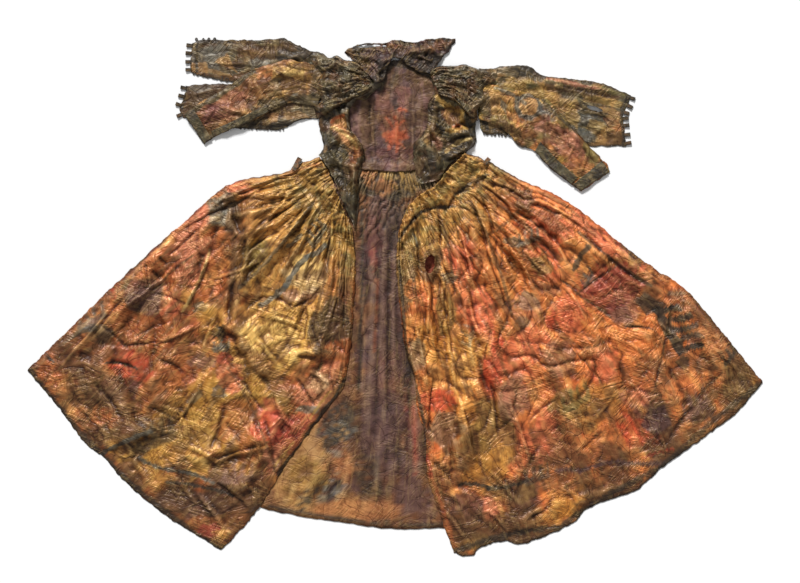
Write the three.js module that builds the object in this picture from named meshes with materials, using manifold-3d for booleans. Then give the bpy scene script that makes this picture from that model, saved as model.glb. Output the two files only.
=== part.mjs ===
// A seventeenth-century silk gown laid out flat, face up, on a level surface.
//
// Millimetres, +Z up. The gown lies in the XY plane with its collar towards +Y, its hem towards -Y
// and the wearer's right side towards -X. The skirt is open in front, so the inside of the back shows.
// Each cut piece is a wall of cloth: a patch between four edge curves, raised into its folds and
// gathers, and laid on whatever is already beneath it.
import * as THREE from "three";
import Module from "manifold-3d";

const wasm = await Module();
wasm.setup();

const clothThickness = 1.5;
const layerGap = 0.35; // between a piece and what it lies on
const steepest = 2.2; // most that the wall's upright thickness grows on a slope
const loopGap = 1.5; // between a loop and the edge that it stands out from
const foldEnds = 0.3; // share of a fold's length over which each end dies away
const gatherFade = 0.06; // share of an edge over which its gathers start and stop
const pileCell = 8; // side of one square of the map of the cloth laid so far
const pileStep = 5; // spacing of the points that are entered in it
const pileHalf = 1280; // half the side of the whole map
const ripBottom = -5;
const ripTop = 150;
const ripSides = 10;

const colours = {
  skirt: 0xb0693c,
  inside: 0x6d4034,
  bodice: 0x4b4034,
  sleeve: 0x6f5236,
  collar: 0x453630,
  band: 0x4a4238,
  loop: 0x2f2922,
};

// Rows of numbers under named columns.
function table(names, rows) {
  const columns = names.split(" ");
  return rows.map((row) => Object.fromEntries(columns.map((name, i) => [name, row[i]])));
}

// ---------------------------------------------------------------- outlines

// A smooth edge through points [x, y].
function edge(...points) {
  const curve = new THREE.SplineCurve(points.map(([x, y]) => new THREE.Vector2(x, y)));
  curve.arcLengthDivisions = 400;
  return curve;
}

// The patch between four edges. start and end run from the left edge to the right one, and left and
// right run from start to end. u goes across, from left to right, and v goes from start to end.
function patchBetween({ start, end, left, right }) {
  const corners = [start.getPointAt(0), start.getPointAt(1), end.getPointAt(0), end.getPointAt(1)];
  return (u, v) => {
    const point = new THREE.Vector2();
    point.addScaledVector(start.getPointAt(u), 1 - v);
    point.addScaledVector(end.getPointAt(u), v);
    point.addScaledVector(left.getPointAt(v), 1 - u);
    point.addScaledVector(right.getPointAt(v), u);
    point.addScaledVector(corners[0], -(1 - u) * (1 - v));
    point.addScaledVector(corners[1], -u * (1 - v));
    point.addScaledVector(corners[2], -(1 - u) * v);
    return point.addScaledVector(corners[3], -u * v);
  };
}

// ---------------------------------------------------------------- folds and gathers

const smooth = (t) => {
  const s = Math.min(1, Math.max(0, t));
  return s * s * (3 - 2 * s);
};

// Height that a list of folds adds at a point. A fold is a soft ridge from x0, y0 to x1, y1, bowed
// sideways by bow at its middle, width from its crest to its foot, and dying away at both ends.
function foldHeight(folds, x, y) {
  let sum = 0;
  for (const fold of folds) {
    const dx = fold.x1 - fold.x0;
    const dy = fold.y1 - fold.y0;
    const length = Math.hypot(dx, dy);
    const along = ((x - fold.x0) * dx + (y - fold.y0) * dy) / length ** 2;
    if (along <= 0 || along >= 1) continue;
    const across = ((y - fold.y0) * dx - (x - fold.x0) * dy) / length;
    const off = Math.abs(across - fold.bow * 4 * along * (1 - along)) / fold.width;
    if (off >= 1) continue;
    const ends = smooth(along / foldEnds) * smooth((1 - along) / foldEnds);
    sum += fold.height * ends * (0.5 + 0.5 * Math.cos(Math.PI * off));
  }
  return sum;
}

// A value read from table rows by v, eased from one row to the next.
function profileAt(rows, v, name) {
  const next = rows.findIndex((row) => row.v >= v);
  if (next <= 0) return rows[next < 0 ? rows.length - 1 : 0][name];
  const a = rows[next - 1];
  const b = rows[next];
  return a[name] + (b[name] - a[name]) * smooth((v - a.v) / (b.v - a.v));
}

// Gathers that run along v: the cloth lifts as one, and rises and falls in count pleats across u.
function gatherHeight({ count, profile, from = 0, to = 1, sway = 0 }, u, v) {
  const fade = smooth((u - from) / gatherFade + 0.5) * smooth((to - u) / gatherFade + 0.5);
  const phase = count * u + sway * Math.sin(9 * u);
  const uneven = 0.8 + 0.2 * Math.sin(2.4 * Math.floor(phase + 0.5));
  const pleat = (0.5 + 0.5 * Math.cos(2 * Math.PI * phase)) * uneven;
  return fade * (profileAt(profile, v, "lift") + profileAt(profile, v, "depth") * pleat);
}

// ---------------------------------------------------------------- the pile of cloth

// The highest cloth so far over a square grid, which later pieces lie on.
const pile = {
  heights: new Map(),
  key(x, y) {
    const across = Math.ceil((2 * pileHalf) / pileCell);
    return Math.floor((x + pileHalf) / pileCell) * across + Math.floor((y + pileHalf) / pileCell);
  },
  under(x, y, reach) {
    let highest = 0;
    const steps = Math.ceil(reach / pileCell);
    for (let i = -steps; i <= steps; i++)
      for (let j = -steps; j <= steps; j++) {
        const found = this.heights.get(this.key(x + i * pileCell, y + j * pileCell));
        if (found > highest) highest = found;
      }
    return highest;
  },
  add(points, triangles) {
    for (const corners of triangles) {
      const [a, b, c] = corners.map((i) => points[i]);
      const steps = Math.ceil(Math.max(a.distanceTo(b), b.distanceTo(c), c.distanceTo(a)) / pileStep);
      for (let i = 0; i <= steps; i++)
        for (let j = 0; j <= steps - i; j++) {
          const p = a.clone().addScaledVector(b.clone().sub(a), i / steps);
          p.addScaledVector(c.clone().sub(a), j / steps);
          const key = this.key(p.x, p.y);
          this.heights.set(key, Math.max(this.heights.get(key) ?? 0, p.z));
        }
    }
  },
};

// ---------------------------------------------------------------- walls

// Triangles between two rows of points that may differ in number.
function stitch(first, firstCount, second, secondCount) {
  const triangles = [];
  let i = 0;
  let j = 0;
  while (i < firstCount || j < secondCount)
    if (j >= secondCount || (i < firstCount && (i + 1) / firstCount <= (j + 1) / secondCount)) {
      triangles.push([first + i, first + i + 1, second + j]);
      i++;
    } else {
      triangles.push([first + i, second + j + 1, second + j]);
      j++;
    }
  return triangles;
}

// The indices round the outside of the stacked rows.
function boundaryOf(starts, columns) {
  const last = starts.length - 1;
  const loop = [];
  for (let i = 0; i < columns[0]; i++) loop.push(starts[0] + i);
  for (let r = 0; r < last; r++) loop.push(starts[r] + columns[r]);
  for (let i = columns[last]; i > 0; i--) loop.push(starts[last] + i);
  for (let r = last; r > 0; r--) loop.push(starts[r]);
  return loop;
}

// How far it is from a patch point to its neighbours in the rows and columns.
function spacingAt(patch, rows, r, i) {
  const { v, columns } = rows[r];
  const here = patch(i / columns, v);
  const near = [];
  if (i > 0) near.push(patch((i - 1) / columns, v));
  if (i < columns) near.push(patch((i + 1) / columns, v));
  if (r > 0) near.push(patch(i / columns, rows[r - 1].v));
  if (r < rows.length - 1) near.push(patch(i / columns, rows[r + 1].v));
  return Math.max(...near.map((p) => p.distanceTo(here)));
}

function upwardNormals(points, triangles) {
  const normals = points.map(() => new THREE.Vector3());
  for (const [a, b, c] of triangles) {
    const normal = points[b].clone().sub(points[a]).cross(points[c].clone().sub(points[a]));
    for (const i of [a, b, c]) normals[i].add(normal);
  }
  return normals.map((n) => n.normalize());
}

// Heights along a row, pulled straight between the high spots that the cloth lies on.
function drawnTaut(heights) {
  let taut = heights;
  for (let pass = 0; pass < 12; pass++)
    taut = taut.map((h, i) => {
      const before = taut[Math.max(0, i - 1)];
      const after = taut[Math.min(taut.length - 1, i + 1)];
      return Math.max(heights[i], (before + h + after) / 3);
    });
  return taut;
}

// A closed wall of cloth over a patch. rows holds v and columns, height(u, v, x, y) is what the folds
// add, and the piece lies on the pile and then joins it.
function clothWall(name, colour, { patch, rows, height = () => 0 }) {
  const top = [];
  const support = [];
  const starts = [];
  rows.forEach(({ v, columns }, r) => {
    starts.push(top.length);
    const points = Array.from({ length: columns + 1 }, (_, i) => patch(i / columns, v));
    const beneath = points.map(({ x, y }, i) => pile.under(x, y, spacingAt(patch, rows, r, i)));
    const rest = drawnTaut(beneath.map((h) => (h > 0 ? h + layerGap : 0)));
    points.forEach(({ x, y }, i) => {
      const raised = Math.max(0, height(i / columns, v, x, y));
      top.push(new THREE.Vector3(x, y, rest[i] + clothThickness + raised));
    });
    support.push(...rest);
  });
  const columns = rows.map((row) => row.columns);
  let faces = [];
  for (let r = 0; r + 1 < rows.length; r++)
    faces = faces.concat(stitch(starts[r], columns[r], starts[r + 1], columns[r + 1]));
  let loop = boundaryOf(starts, columns);
  if (upwardNormals(top, faces).reduce((sum, n) => sum + n.z, 0) < 0)
    faces = faces.map(([a, b, c]) => [a, c, b]);
  else loop = loop.reverse();

  const normals = upwardNormals(top, faces);
  const underside = top.map((p, i) => {
    const upright = clothThickness * Math.min(steepest, 1 / Math.max(normals[i].z, 0.1));
    return new THREE.Vector3(p.x, p.y, Math.max(p.z - upright, support[i]));
  });
  const n = top.length;
  const all = faces.concat(faces.map(([a, b, c]) => [a + n, c + n, b + n]));
  loop.forEach((a, k) => {
    const b = loop[(k + 1) % loop.length];
    all.push([a, b, b + n], [a, b + n, a + n]);
  });
  pile.add(top, faces);
  return meshOf(name, colour, top.concat(underside), all);
}

function meshOf(name, colour, points, faces) {
  const geometry = new THREE.BufferGeometry();
  geometry.setAttribute("position", new THREE.Float32BufferAttribute(points.flatMap((p) => [p.x, p.y, p.z]), 3));
  geometry.setIndex(faces.flat());
  geometry.computeVertexNormals();
  return named(name, colour, geometry);
}

function named(name, colour, geometry) {
  const material = new THREE.MeshStandardMaterial({ color: colours[colour], roughness: 0.6, metalness: 0 });
  const mesh = new THREE.Mesh(geometry, material);
  mesh.name = name;
  return mesh;
}

// Evenly spaced rows, all with the same number of columns.
function evenRows(count, columns) {
  return Array.from({ length: count + 1 }, (_, r) => ({ v: r / count, columns }));
}

// ---------------------------------------------------------------- rips

function solidOf(geometry) {
  const { position } = geometry.attributes;
  return new wasm.Manifold(
    new wasm.Mesh({
      numProp: 3,
      vertProperties: new Float32Array(position.array),
      triVerts: new Uint32Array(geometry.index.array),
    }),
  );
}

// Cuts leaf-shaped rips through a wall, each length by width, turned by angle degrees.
function ripped(mesh, rips) {
  let solid = solidOf(mesh.geometry);
  for (const { x, y, length, width, angle } of rips) {
    const points = [];
    for (const z of [ripBottom, ripTop])
      for (let i = 0; i < ripSides; i++) {
        const turn = (2 * Math.PI * i) / ripSides;
        const p = new THREE.Vector2((Math.cos(turn) * length) / 2, (Math.sin(turn) * width) / 2);
        p.rotateAround(new THREE.Vector2(), THREE.MathUtils.degToRad(angle));
        points.push(x + p.x, y + p.y, z);
      }
    const faces = [];
    for (let i = 0; i < ripSides; i++) {
      const j = (i + 1) % ripSides;
      faces.push(i, j, j + ripSides, i, j + ripSides, i + ripSides);
      if (i > 0 && j > 0) faces.push(0, j, i, ripSides, ripSides + i, ripSides + j);
    }
    const prism = new wasm.Mesh({
      numProp: 3,
      vertProperties: new Float32Array(points),
      triVerts: new Uint32Array(faces),
    });
    solid = solid.subtract(new wasm.Manifold(prism));
  }
  const cut = solid.getMesh();
  const geometry = new THREE.BufferGeometry();
  geometry.setAttribute("position", new THREE.BufferAttribute(cut.vertProperties, 3));
  geometry.setIndex(new THREE.BufferAttribute(cut.triVerts, 1));
  geometry.computeVertexNormals();
  mesh.geometry = geometry;
  return mesh;
}

// ---------------------------------------------------------------- skirt

const skirtRows = table("v columns", [
  [0, 96], [0.035, 96], [0.065, 96], [0.105, 96], [0.17, 48], [0.27, 48],
  [0.4, 26], [0.55, 26], [0.7, 26], [0.85, 26], [1, 26],
]);

const frontGathers = table("v lift depth", [
  [0, 3, 7],
  [0.035, 13, 8],
  [0.065, 3, 5],
  [0.105, 9, 15],
  [0.17, 7, 12],
  [0.27, 4, 7],
  [0.4, 0, 0],
]);

const backGathers = table("v lift depth", [
  [0, 1, 5],
  [0.05, 5, 8],
  [0.1, 2, 5],
  [0.2, 1, 4],
  [0.35, 0, 0],
]);

const skirtBackFolds = table("x0 y0 x1 y1 bow width height", [
  [-75, 330, -100, -520, 12, 30, 9],
  [-30, 305, -35, -440, -8, 26, 7],
  [35, 305, 60, -660, 14, 32, 9],
  [-215, -500, -300, -660, 10, 40, 8],
]);

const skirtRightFolds = table("x0 y0 x1 y1 bow width height", [
  [-430, 380, -530, -110, -30, 54, 24],
  [-250, 290, -500, 10, -20, 44, 20],
  [-215, 140, -300, -200, 14, 44, 20],
  [-580, 320, -700, 60, 16, 50, 18],
  [-600, -20, -430, -320, 22, 56, 24],
  [-980, -120, -820, -490, -26, 66, 20],
  [-700, -560, -350, -470, 18, 54, 22],
  [-380, -210, -190, -165, 0, 48, 22],
  [-720, 250, -1080, -220, 30, 68, 18],
  [-675, 120, -790, -420, -30, 62, 18],
  [-340, -280, -600, -740, 30, 62, 18],
  [-1000, -500, -740, -420, 0, 46, 16],
]);

const skirtLeftFolds = table("x0 y0 x1 y1 bow width height", [
  [40, 190, 65, -200, 8, 36, 20],
  [120, 240, 130, -400, -14, 40, 17],
  [225, 320, 380, -80, -16, 44, 20],
  [280, 330, 560, 0, 18, 44, 21],
  [365, 330, 720, 50, 14, 46, 19],
  [600, 240, 930, -40, 10, 52, 19],
  [270, 40, 420, -500, -20, 54, 22],
  [440, -20, 640, -600, 20, 56, 19],
  [560, 60, 780, -440, 16, 58, 18],
  [235, -220, 190, -640, 12, 48, 21],
  [740, -10, 960, -440, 20, 66, 17],
  [900, 20, 1110, -300, 10, 60, 16],
  [330, -770, 800, -610, 14, 42, 17],
]);

const skirtBack = clothWall("skirt_back", "inside", {
  patch: patchBetween({
    start: edge([-235, 455], [-150, 440], [-15, 430], [100, 430], [240, 465]),
    end: edge([-1205, -245], [-910, -445], [-645, -600], [-440, -695], [-130, -750], [15, -765], [165, -760],
      [410, -740], [675, -645], [860, -560], [1035, -430], [1130, -350], [1205, -280]),
    left: edge([-235, 455], [-355, 410], [-500, 380], [-570, 350], [-675, 260], [-875, 80], [-1205, -245]),
    right: edge([240, 465], [305, 440], [415, 380], [580, 300], [815, 115], [1045, -80], [1205, -280]),
  }),
  rows: table("v columns", [
    [0, 64], [0.045, 64], [0.1, 64], [0.2, 32], [0.35, 24], [0.52, 24], [0.7, 24], [0.86, 24], [1, 24],
  ]),
  height: (u, v, x, y) =>
    gatherHeight({ count: 16, profile: backGathers, from: 0.2, to: 0.72 }, u, v) + foldHeight(skirtBackFolds, x, y),
});

// ---------------------------------------------------------------- bodice back

const bodiceBack = clothWall("bodice_back", "inside", {
  patch: patchBetween({
    start: edge([-180, 720], [-90, 745], [-30, 775], [20, 785], [75, 765], [130, 735], [220, 720]),
    end: edge([-210, 450], [-140, 430], [-15, 415], [100, 425], [230, 465]),
    left: edge([-180, 720], [-215, 650], [-230, 585], [-225, 520], [-210, 450]),
    right: edge([220, 720], [250, 650], [255, 570], [250, 515], [230, 465]),
  }),
  rows: evenRows(10, 12),
  height: (u, v, x, y) =>
    foldHeight(
      table("x0 y0 x1 y1 bow width height", [
        [-100, 700, -90, 430, -14, 34, 9],
        [84, 690, 66, 430, 10, 34, 9],
      ]),
      x,
      y,
    ),
});

// ---------------------------------------------------------------- hanging sleeves

const hangingSleeves = [
  clothWall("hanging_sleeve_front_right", "sleeve", {
    patch: patchBetween({
      start: edge([-215, 790], [-230, 720], [-240, 650]),
      end: edge([-670, 840], [-675, 790], [-675, 745]),
      left: edge([-215, 790], [-250, 810], [-280, 815], [-345, 845], [-375, 855], [-505, 850], [-635, 850], [-670, 840]),
      right: edge([-240, 650], [-315, 660], [-410, 680], [-480, 705], [-560, 715], [-640, 730], [-675, 745]),
    }),
    rows: evenRows(13, 7),
    height: (u, v, x, y) =>
      foldHeight(
        table("x0 y0 x1 y1 bow width height", [
          [-250, 790, -600, 838, 8, 26, 8],
          [-320, 740, -520, 800, 6, 34, 6],
        ]),
        x,
        y,
      ),
  }),
  clothWall("hanging_sleeve_back_right", "sleeve", {
    patch: patchBetween({
      start: edge([-240, 640], [-255, 590]),
      end: edge([-690, 700], [-700, 655], [-710, 625], [-700, 595]),
      left: edge([-240, 640], [-315, 650], [-395, 665], [-480, 690], [-560, 705], [-690, 700]),
      right: edge([-255, 590], [-300, 590], [-330, 580], [-375, 555], [-450, 555], [-530, 560], [-610, 575], [-700, 595]),
    }),
    rows: evenRows(11, 5),
    height: (u, v, x, y) =>
      foldHeight(table("x0 y0 x1 y1 bow width height", [[-250, 604, -480, 580, 10, 24, 7]]), x, y),
  }),
  clothWall("hanging_sleeve_front_left", "sleeve", {
    patch: patchBetween({
      start: edge([280, 755], [280, 685], [275, 610]),
      end: edge([780, 670], [770, 640], [755, 610], [755, 575], [760, 530], [765, 500]),
      left: edge([280, 755], [315, 755], [370, 765], [440, 765], [475, 740], [520, 730], [670, 710], [740, 685], [780, 670]),
      right: edge([275, 610], [330, 595], [385, 575], [495, 535], [595, 510], [650, 500], [765, 500]),
    }),
    rows: evenRows(14, 8),
    height: (u, v, x, y) =>
      foldHeight(
        table("x0 y0 x1 y1 bow width height", [
          [300, 690, 780, 668, 26, 34, 9],
          [420, 680, 750, 590, 14, 30, 7],
          [560, 590, 760, 520, 6, 30, 5],
        ]),
        x,
        y,
      ),
  }),
  clothWall("hanging_sleeve_back_left", "sleeve", {
    patch: patchBetween({
      start: edge([280, 605], [280, 560]),
      end: edge([385, 565], [375, 535]),
      left: edge([280, 605], [330, 585], [385, 565]),
      right: edge([280, 560], [300, 540], [340, 540], [375, 535]),
    }),
    rows: evenRows(5, 3),
  }),
];
ripped(hangingSleeves[2], table("x y length width angle", [[665, 625, 50, 8, -17]]));

// ---------------------------------------------------------------- loops on the hanging sleeves

const loop = { length: 21, width: 13, strip: 2.4, bulge: 2.8 };

// A strip folded back on itself and pressed flat, with a round bulge at the fold. It lies along +X
// from the origin.
function loopGeometry() {
  const { length, width, strip, bulge } = loop;
  const outline = new THREE.Shape();
  outline.moveTo(0, 0);
  outline.lineTo(length - bulge, 0);
  outline.absarc(length - bulge, bulge, bulge, -Math.PI / 2, Math.PI, false);
  outline.lineTo(0, strip);
  outline.closePath();
  const geometry = new THREE.ExtrudeGeometry(outline, { depth: width, bevelEnabled: false, curveSegments: 4 });
  return geometry.rotateX(Math.PI / 2).translate(0, width / 2, 0);
}

// Loops along an edge, at shares of its length, facing to the given side of it.
function loopsAlong(prefix, curve, shares, facing) {
  return shares.map((share, i) => {
    const at = curve.getPointAt(share);
    const along = curve.getTangentAt(share);
    const out = new THREE.Vector2(along.y, -along.x).multiplyScalar(facing);
    const mesh = named(prefix + (i + 1), "loop", loopGeometry());
    mesh.position.set(at.x + out.x * loopGap, at.y + out.y * loopGap, 0);
    mesh.rotation.z = Math.atan2(out.y, out.x);
    return mesh;
  });
}

const loops = [
  ...loopsAlong("loop_front_right_", edge([-670, 840], [-675, 790], [-675, 745]), [0.09, 0.36, 0.65, 0.92], 1),
  ...loopsAlong("loop_back_right_", edge([-690, 700], [-700, 655], [-710, 625], [-700, 595]), [0.08, 0.34, 0.62, 0.9], 1),
  ...loopsAlong(
    "loop_front_left_",
    edge([780, 670], [770, 640], [755, 610], [755, 575], [760, 530], [765, 500]),
    [0.06, 0.21, 0.36, 0.48, 0.61, 0.79, 0.95],
    -1,
  ),
];

// ---------------------------------------------------------------- inner sleeves

const innerRight = patchBetween({
  start: edge([-240, 765], [-235, 700], [-255, 630]),
  end: edge([-695, 600], [-630, 505]),
  left: edge([-240, 765], [-300, 775], [-350, 785], [-395, 775], [-480, 745], [-560, 690], [-650, 640], [-695, 600]),
  right: edge([-255, 630], [-315, 640], [-355, 640], [-395, 620], [-480, 580], [-595, 530], [-630, 505]),
});

const innerLeft = patchBetween({
  start: edge([275, 590], [280, 650], [280, 705]),
  end: edge([615, 350], [710, 415]),
  left: edge([275, 590], [300, 580], [340, 565], [385, 530], [410, 500], [455, 485], [510, 430], [560, 390], [615, 350]),
  right: edge([280, 705], [340, 700], [435, 675], [475, 655], [500, 655], [530, 630], [550, 600], [615, 530],
    [675, 465], [700, 440], [710, 415]),
});

// Part of a patch, from its points.
const partOf = (patch, u0, u1, v0, v1) => (u, v) => patch(u0 + (u1 - u0) * u, v0 + (v1 - v0) * v);

const cuffRip = table("x y length width angle", [[685, 445, 22, 7, -52]]);

const innerSleeves = [
  clothWall("sleeve_under_right", "sleeve", { patch: partOf(innerRight, 0.03, 0.97, 0.02, 0.99), rows: evenRows(9, 4) }),
  clothWall("sleeve_top_right", "sleeve", {
    patch: innerRight,
    rows: evenRows(16, 8),
    height: (u, v, x, y) =>
      foldHeight(
        table("x0 y0 x1 y1 bow width height", [
          [-250, 725, -440, 735, -10, 34, 12],
          [-300, 650, -420, 700, 8, 28, 10],
          [-420, 640, -470, 730, 6, 24, 10],
          [-450, 610, -600, 640, 10, 30, 8],
          [-520, 640, -680, 590, 0, 26, 7],
        ]),
        x,
        y,
      ),
  }),
  ripped(
    clothWall("sleeve_under_left", "sleeve", { patch: partOf(innerLeft, 0.03, 0.98, 0.02, 0.99), rows: evenRows(9, 4) }),
    cuffRip,
  ),
  ripped(
    clothWall("sleeve_top_left", "sleeve", {
      patch: innerLeft,
      rows: evenRows(16, 8),
      height: (u, v, x, y) =>
        foldHeight(
          table("x0 y0 x1 y1 bow width height", [
            [285, 660, 420, 650, 10, 34, 11],
            [300, 600, 450, 560, -8, 30, 10],
            [440, 640, 560, 520, 12, 32, 11],
            [470, 560, 640, 420, -8, 30, 9],
            [560, 560, 680, 440, 6, 26, 7],
          ]),
          x,
          y,
        ),
    }),
    cuffRip,
  ),
];

// The plain bands along the seam and round the cuff of each inner sleeve.
const sleeveBands = [
  clothWall("sleeve_band_left", "band", { patch: partOf(innerLeft, 0.01, 0.24, 0.52, 0.9), rows: evenRows(8, 2) }),
  clothWall("cuff_band_left", "band", { patch: partOf(innerLeft, 0.01, 0.94, 0.915, 0.995), rows: evenRows(2, 6) }),
  clothWall("sleeve_band_right", "band", { patch: partOf(innerRight, 0.82, 0.99, 0.42, 0.9), rows: evenRows(8, 2) }),
  clothWall("cuff_band_right", "band", { patch: partOf(innerRight, 0.06, 0.99, 0.925, 0.995), rows: evenRows(2, 6) }),
];

// ---------------------------------------------------------------- skirt fronts

// The hem and the front edge lie down on what is beneath.
const settleAtEdges = (u, v) => smooth((1 - v) / 0.05) * smooth(u / 0.04) * smooth((1 - u) / 0.04);

const skirtFrontRight = clothWall("skirt_front_right", "skirt", {
  patch: patchBetween({
    start: edge([-250, 465], [-210, 395], [-180, 315], [-140, 225]),
    end: edge([-1215, -240], [-1110, -365], [-1025, -480], [-960, -530], [-900, -600], [-815, -675], [-735, -735], [-575, -835]),
    left: edge([-250, 465], [-315, 440], [-355, 415], [-440, 400], [-500, 390], [-570, 360], [-675, 270],
      [-875, 90], [-1215, -240]),
    right: edge([-140, 225], [-130, 115], [-135, -10], [-145, -155], [-165, -280], [-195, -330], [-345, -530],
      [-445, -690], [-540, -800], [-575, -835]),
  }),
  rows: skirtRows,
  height: (u, v, x, y) =>
    settleAtEdges(u, v) *
    (gatherHeight({ count: 24, profile: frontGathers, sway: 0.1 }, u, v) + foldHeight(skirtRightFolds, x, y)),
});

const bodiceFrontLeft = clothWall("bodice_front_left", "bodice", {
  patch: patchBetween({
    start: edge([115, 735], [180, 750], [275, 745]),
    end: edge([85, 370], [125, 380], [155, 395], [175, 430], [225, 475]),
    left: edge([115, 735], [130, 680], [110, 640], [110, 595], [90, 535], [65, 515], [60, 475], [65, 425], [85, 370]),
    right: edge([275, 745], [275, 650], [265, 560], [270, 520], [255, 495], [225, 475]),
  }),
  rows: evenRows(15, 12),
  height: (u, v, x, y) =>
    3 +
    foldHeight(
      table("x0 y0 x1 y1 bow width height", [
        [125, 700, 100, 530, -10, 22, 16],
        [150, 670, 250, 560, 22, 26, 24],
        [170, 520, 270, 545, 4, 24, 22],
        [250, 600, 180, 540, -10, 22, 14],
        [150, 460, 265, 515, -8, 26, 22],
        [80, 520, 150, 400, 14, 28, 16],
        [120, 590, 170, 470, -8, 24, 16],
      ]),
      x,
      y,
    ),
});

const skirtFrontLeft = ripped(
  clothWall("skirt_front_left", "skirt", {
    patch: patchBetween({
      start: edge([10, 210], [30, 270], [65, 325], [135, 370], [170, 415], [230, 475]),
      end: edge([195, -845], [250, -855], [285, -825], [365, -805], [420, -815], [540, -770], [595, -740], [650, -690],
        [790, -640], [880, -565], [1045, -445], [1130, -380], [1215, -280]),
      left: edge([10, 210], [5, 115], [15, -25], [35, -175], [65, -280], [75, -380], [100, -445], [105, -580],
        [125, -650], [195, -845]),
      right: edge([230, 475], [255, 470], [305, 450], [415, 390], [580, 310], [815, 125], [955, 30], [1045, -70], [1215, -280]),
    }),
    rows: skirtRows,
    height: (u, v, x, y) =>
      settleAtEdges(u, v) *
      (gatherHeight({ count: 24, profile: frontGathers, sway: 0.1 }, u, v) + foldHeight(skirtLeftFolds, x, y)),
  }),
  table("x y length width angle", [[115, 110, 62, 34, 80]]),
);

// ---------------------------------------------------------------- bodice front, collar and wings

const bodiceFrontRight = clothWall("bodice_front_right", "bodice", {
  patch: patchBetween({
    start: edge([-215, 765], [-130, 745], [-35, 705]),
    end: edge([-250, 470], [-205, 400], [-170, 315], [-130, 225]),
    left: edge([-215, 765], [-240, 685], [-250, 610], [-250, 555], [-235, 505], [-250, 470]),
    right: edge([-35, 705], [-65, 685], [-95, 655], [-130, 650], [-145, 630], [-150, 590], [-140, 545],
      [-115, 515], [-100, 475], [-110, 435], [-120, 390], [-120, 305], [-130, 225]),
  }),
  rows: evenRows(17, 9),
  height: (u, v, x, y) =>
    2 +
    foldHeight(
      table("x0 y0 x1 y1 bow width height", [
        [-60, 690, -150, 560, 16, 24, 20],
        [-160, 640, -110, 480, 8, 24, 18],
        [-230, 590, -160, 400, -10, 26, 16],
        [-240, 520, -190, 440, 4, 20, 12],
        [-150, 460, -140, 280, 6, 20, 10],
        [-205, 700, -130, 690, 10, 26, 12],
      ]),
      x,
      y,
    ),
});

const collarRips = table("x y length width angle", [
  [-90, 830, 84, 9, 3],
  [-35, 830, 14, 6, 0],
]);

const collar = ripped(
  clothWall("collar", "collar", {
    patch: patchBetween({
      start: edge([-165, 810], [-145, 825], [-125, 835], [-100, 840], [-40, 840], [5, 850], [45, 845], [75, 845],
        [110, 855], [150, 855], [200, 855]),
      end: edge([-60, 700], [-35, 720], [-30, 745], [-15, 775], [-5, 790], [20, 785], [45, 765], [80, 745], [115, 740]),
      left: edge([-165, 810], [-125, 770], [-95, 740], [-60, 700]),
      right: edge([200, 855], [195, 840], [180, 815], [160, 795], [140, 765], [115, 740]),
    }),
    rows: evenRows(6, 18),
    height: (u, v, x, y) =>
      10 * smooth(v / 0.8) +
      foldHeight(
        table("x0 y0 x1 y1 bow width height", [
          [-130, 800, -40, 770, 8, 22, 10],
          [30, 800, 150, 820, 8, 24, 12],
          [-60, 720, -20, 800, 6, 20, 10],
        ]),
        x,
        y,
      ),
  }),
  collarRips,
);

// The wings are tight rolls of gathers over the tops of the sleeves.
const wingGathers = table("v lift depth", [
  [0, 2, 5],
  [0.3, 12, 8],
  [0.7, 12, 8],
  [1, 2, 5],
]);

const shoulderWings = [
  clothWall("shoulder_wing_right", "bodice", {
    patch: patchBetween({
      start: edge([-95, 740], [-80, 710], [-75, 685]),
      end: edge([-255, 810], [-245, 735], [-250, 660], [-255, 590]),
      left: edge([-95, 740], [-125, 775], [-165, 785], [-190, 800], [-215, 790], [-255, 810]),
      right: edge([-75, 685], [-115, 660], [-165, 640], [-215, 610], [-255, 590]),
    }),
    rows: evenRows(6, 36),
    height: (u, v) => gatherHeight({ count: 9, profile: wingGathers, sway: 0.2 }, u, v),
  }),
  clothWall("shoulder_wing_left", "bodice", {
    patch: patchBetween({
      start: edge([115, 740], [130, 700], [150, 665]),
      end: edge([315, 750], [325, 720], [295, 650], [275, 580]),
      left: edge([115, 740], [140, 760], [200, 765], [230, 770], [275, 755], [315, 750]),
      right: edge([150, 665], [200, 640], [240, 600], [275, 580]),
    }),
    rows: evenRows(6, 36),
    height: (u, v) => gatherHeight({ count: 9, profile: wingGathers, sway: 0.2 }, u, v),
  }),
];

// ---------------------------------------------------------------- waist loops

// A short strip sewn flat to the side of the waist.
function waistLoop(name, x, y, length, width, degrees) {
  const angle = THREE.MathUtils.degToRad(degrees);
  const out = new THREE.Vector2(Math.cos(angle), Math.sin(angle));
  const side = new THREE.Vector2(-out.y, out.x);
  const corner = (a, b) =>
    new THREE.Vector2(x, y).addScaledVector(out, a * length).addScaledVector(side, (b - 0.5) * width);
  return clothWall(name, "loop", { patch: (u, v) => corner(v, u), rows: evenRows(4, 2) });
}

const waistLoops = [
  waistLoop("waist_loop_right", -335, 420, 46, 17, 62),
  waistLoop("waist_loop_left", 295, 440, 26, 15, 50),
];

// ---------------------------------------------------------------- assembly

const gown = new THREE.Group();
gown.name = "silk_gown";
gown.add(skirtBack, skirtFrontRight, skirtFrontLeft);
gown.add(bodiceBack, bodiceFrontRight, bodiceFrontLeft, collar, ...shoulderWings);
gown.add(...innerSleeves, ...sleeveBands, ...hangingSleeves, ...loops, ...waistLoops);

// The origin is the middle of the gown's outline, on the surface that it lies on.
const outline = new THREE.Box3().setFromObject(gown);
const middle = outline.getCenter(new THREE.Vector3());
gown.position.set(-middle.x, -middle.y, 0);

export default gown;
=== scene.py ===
import math

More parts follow.
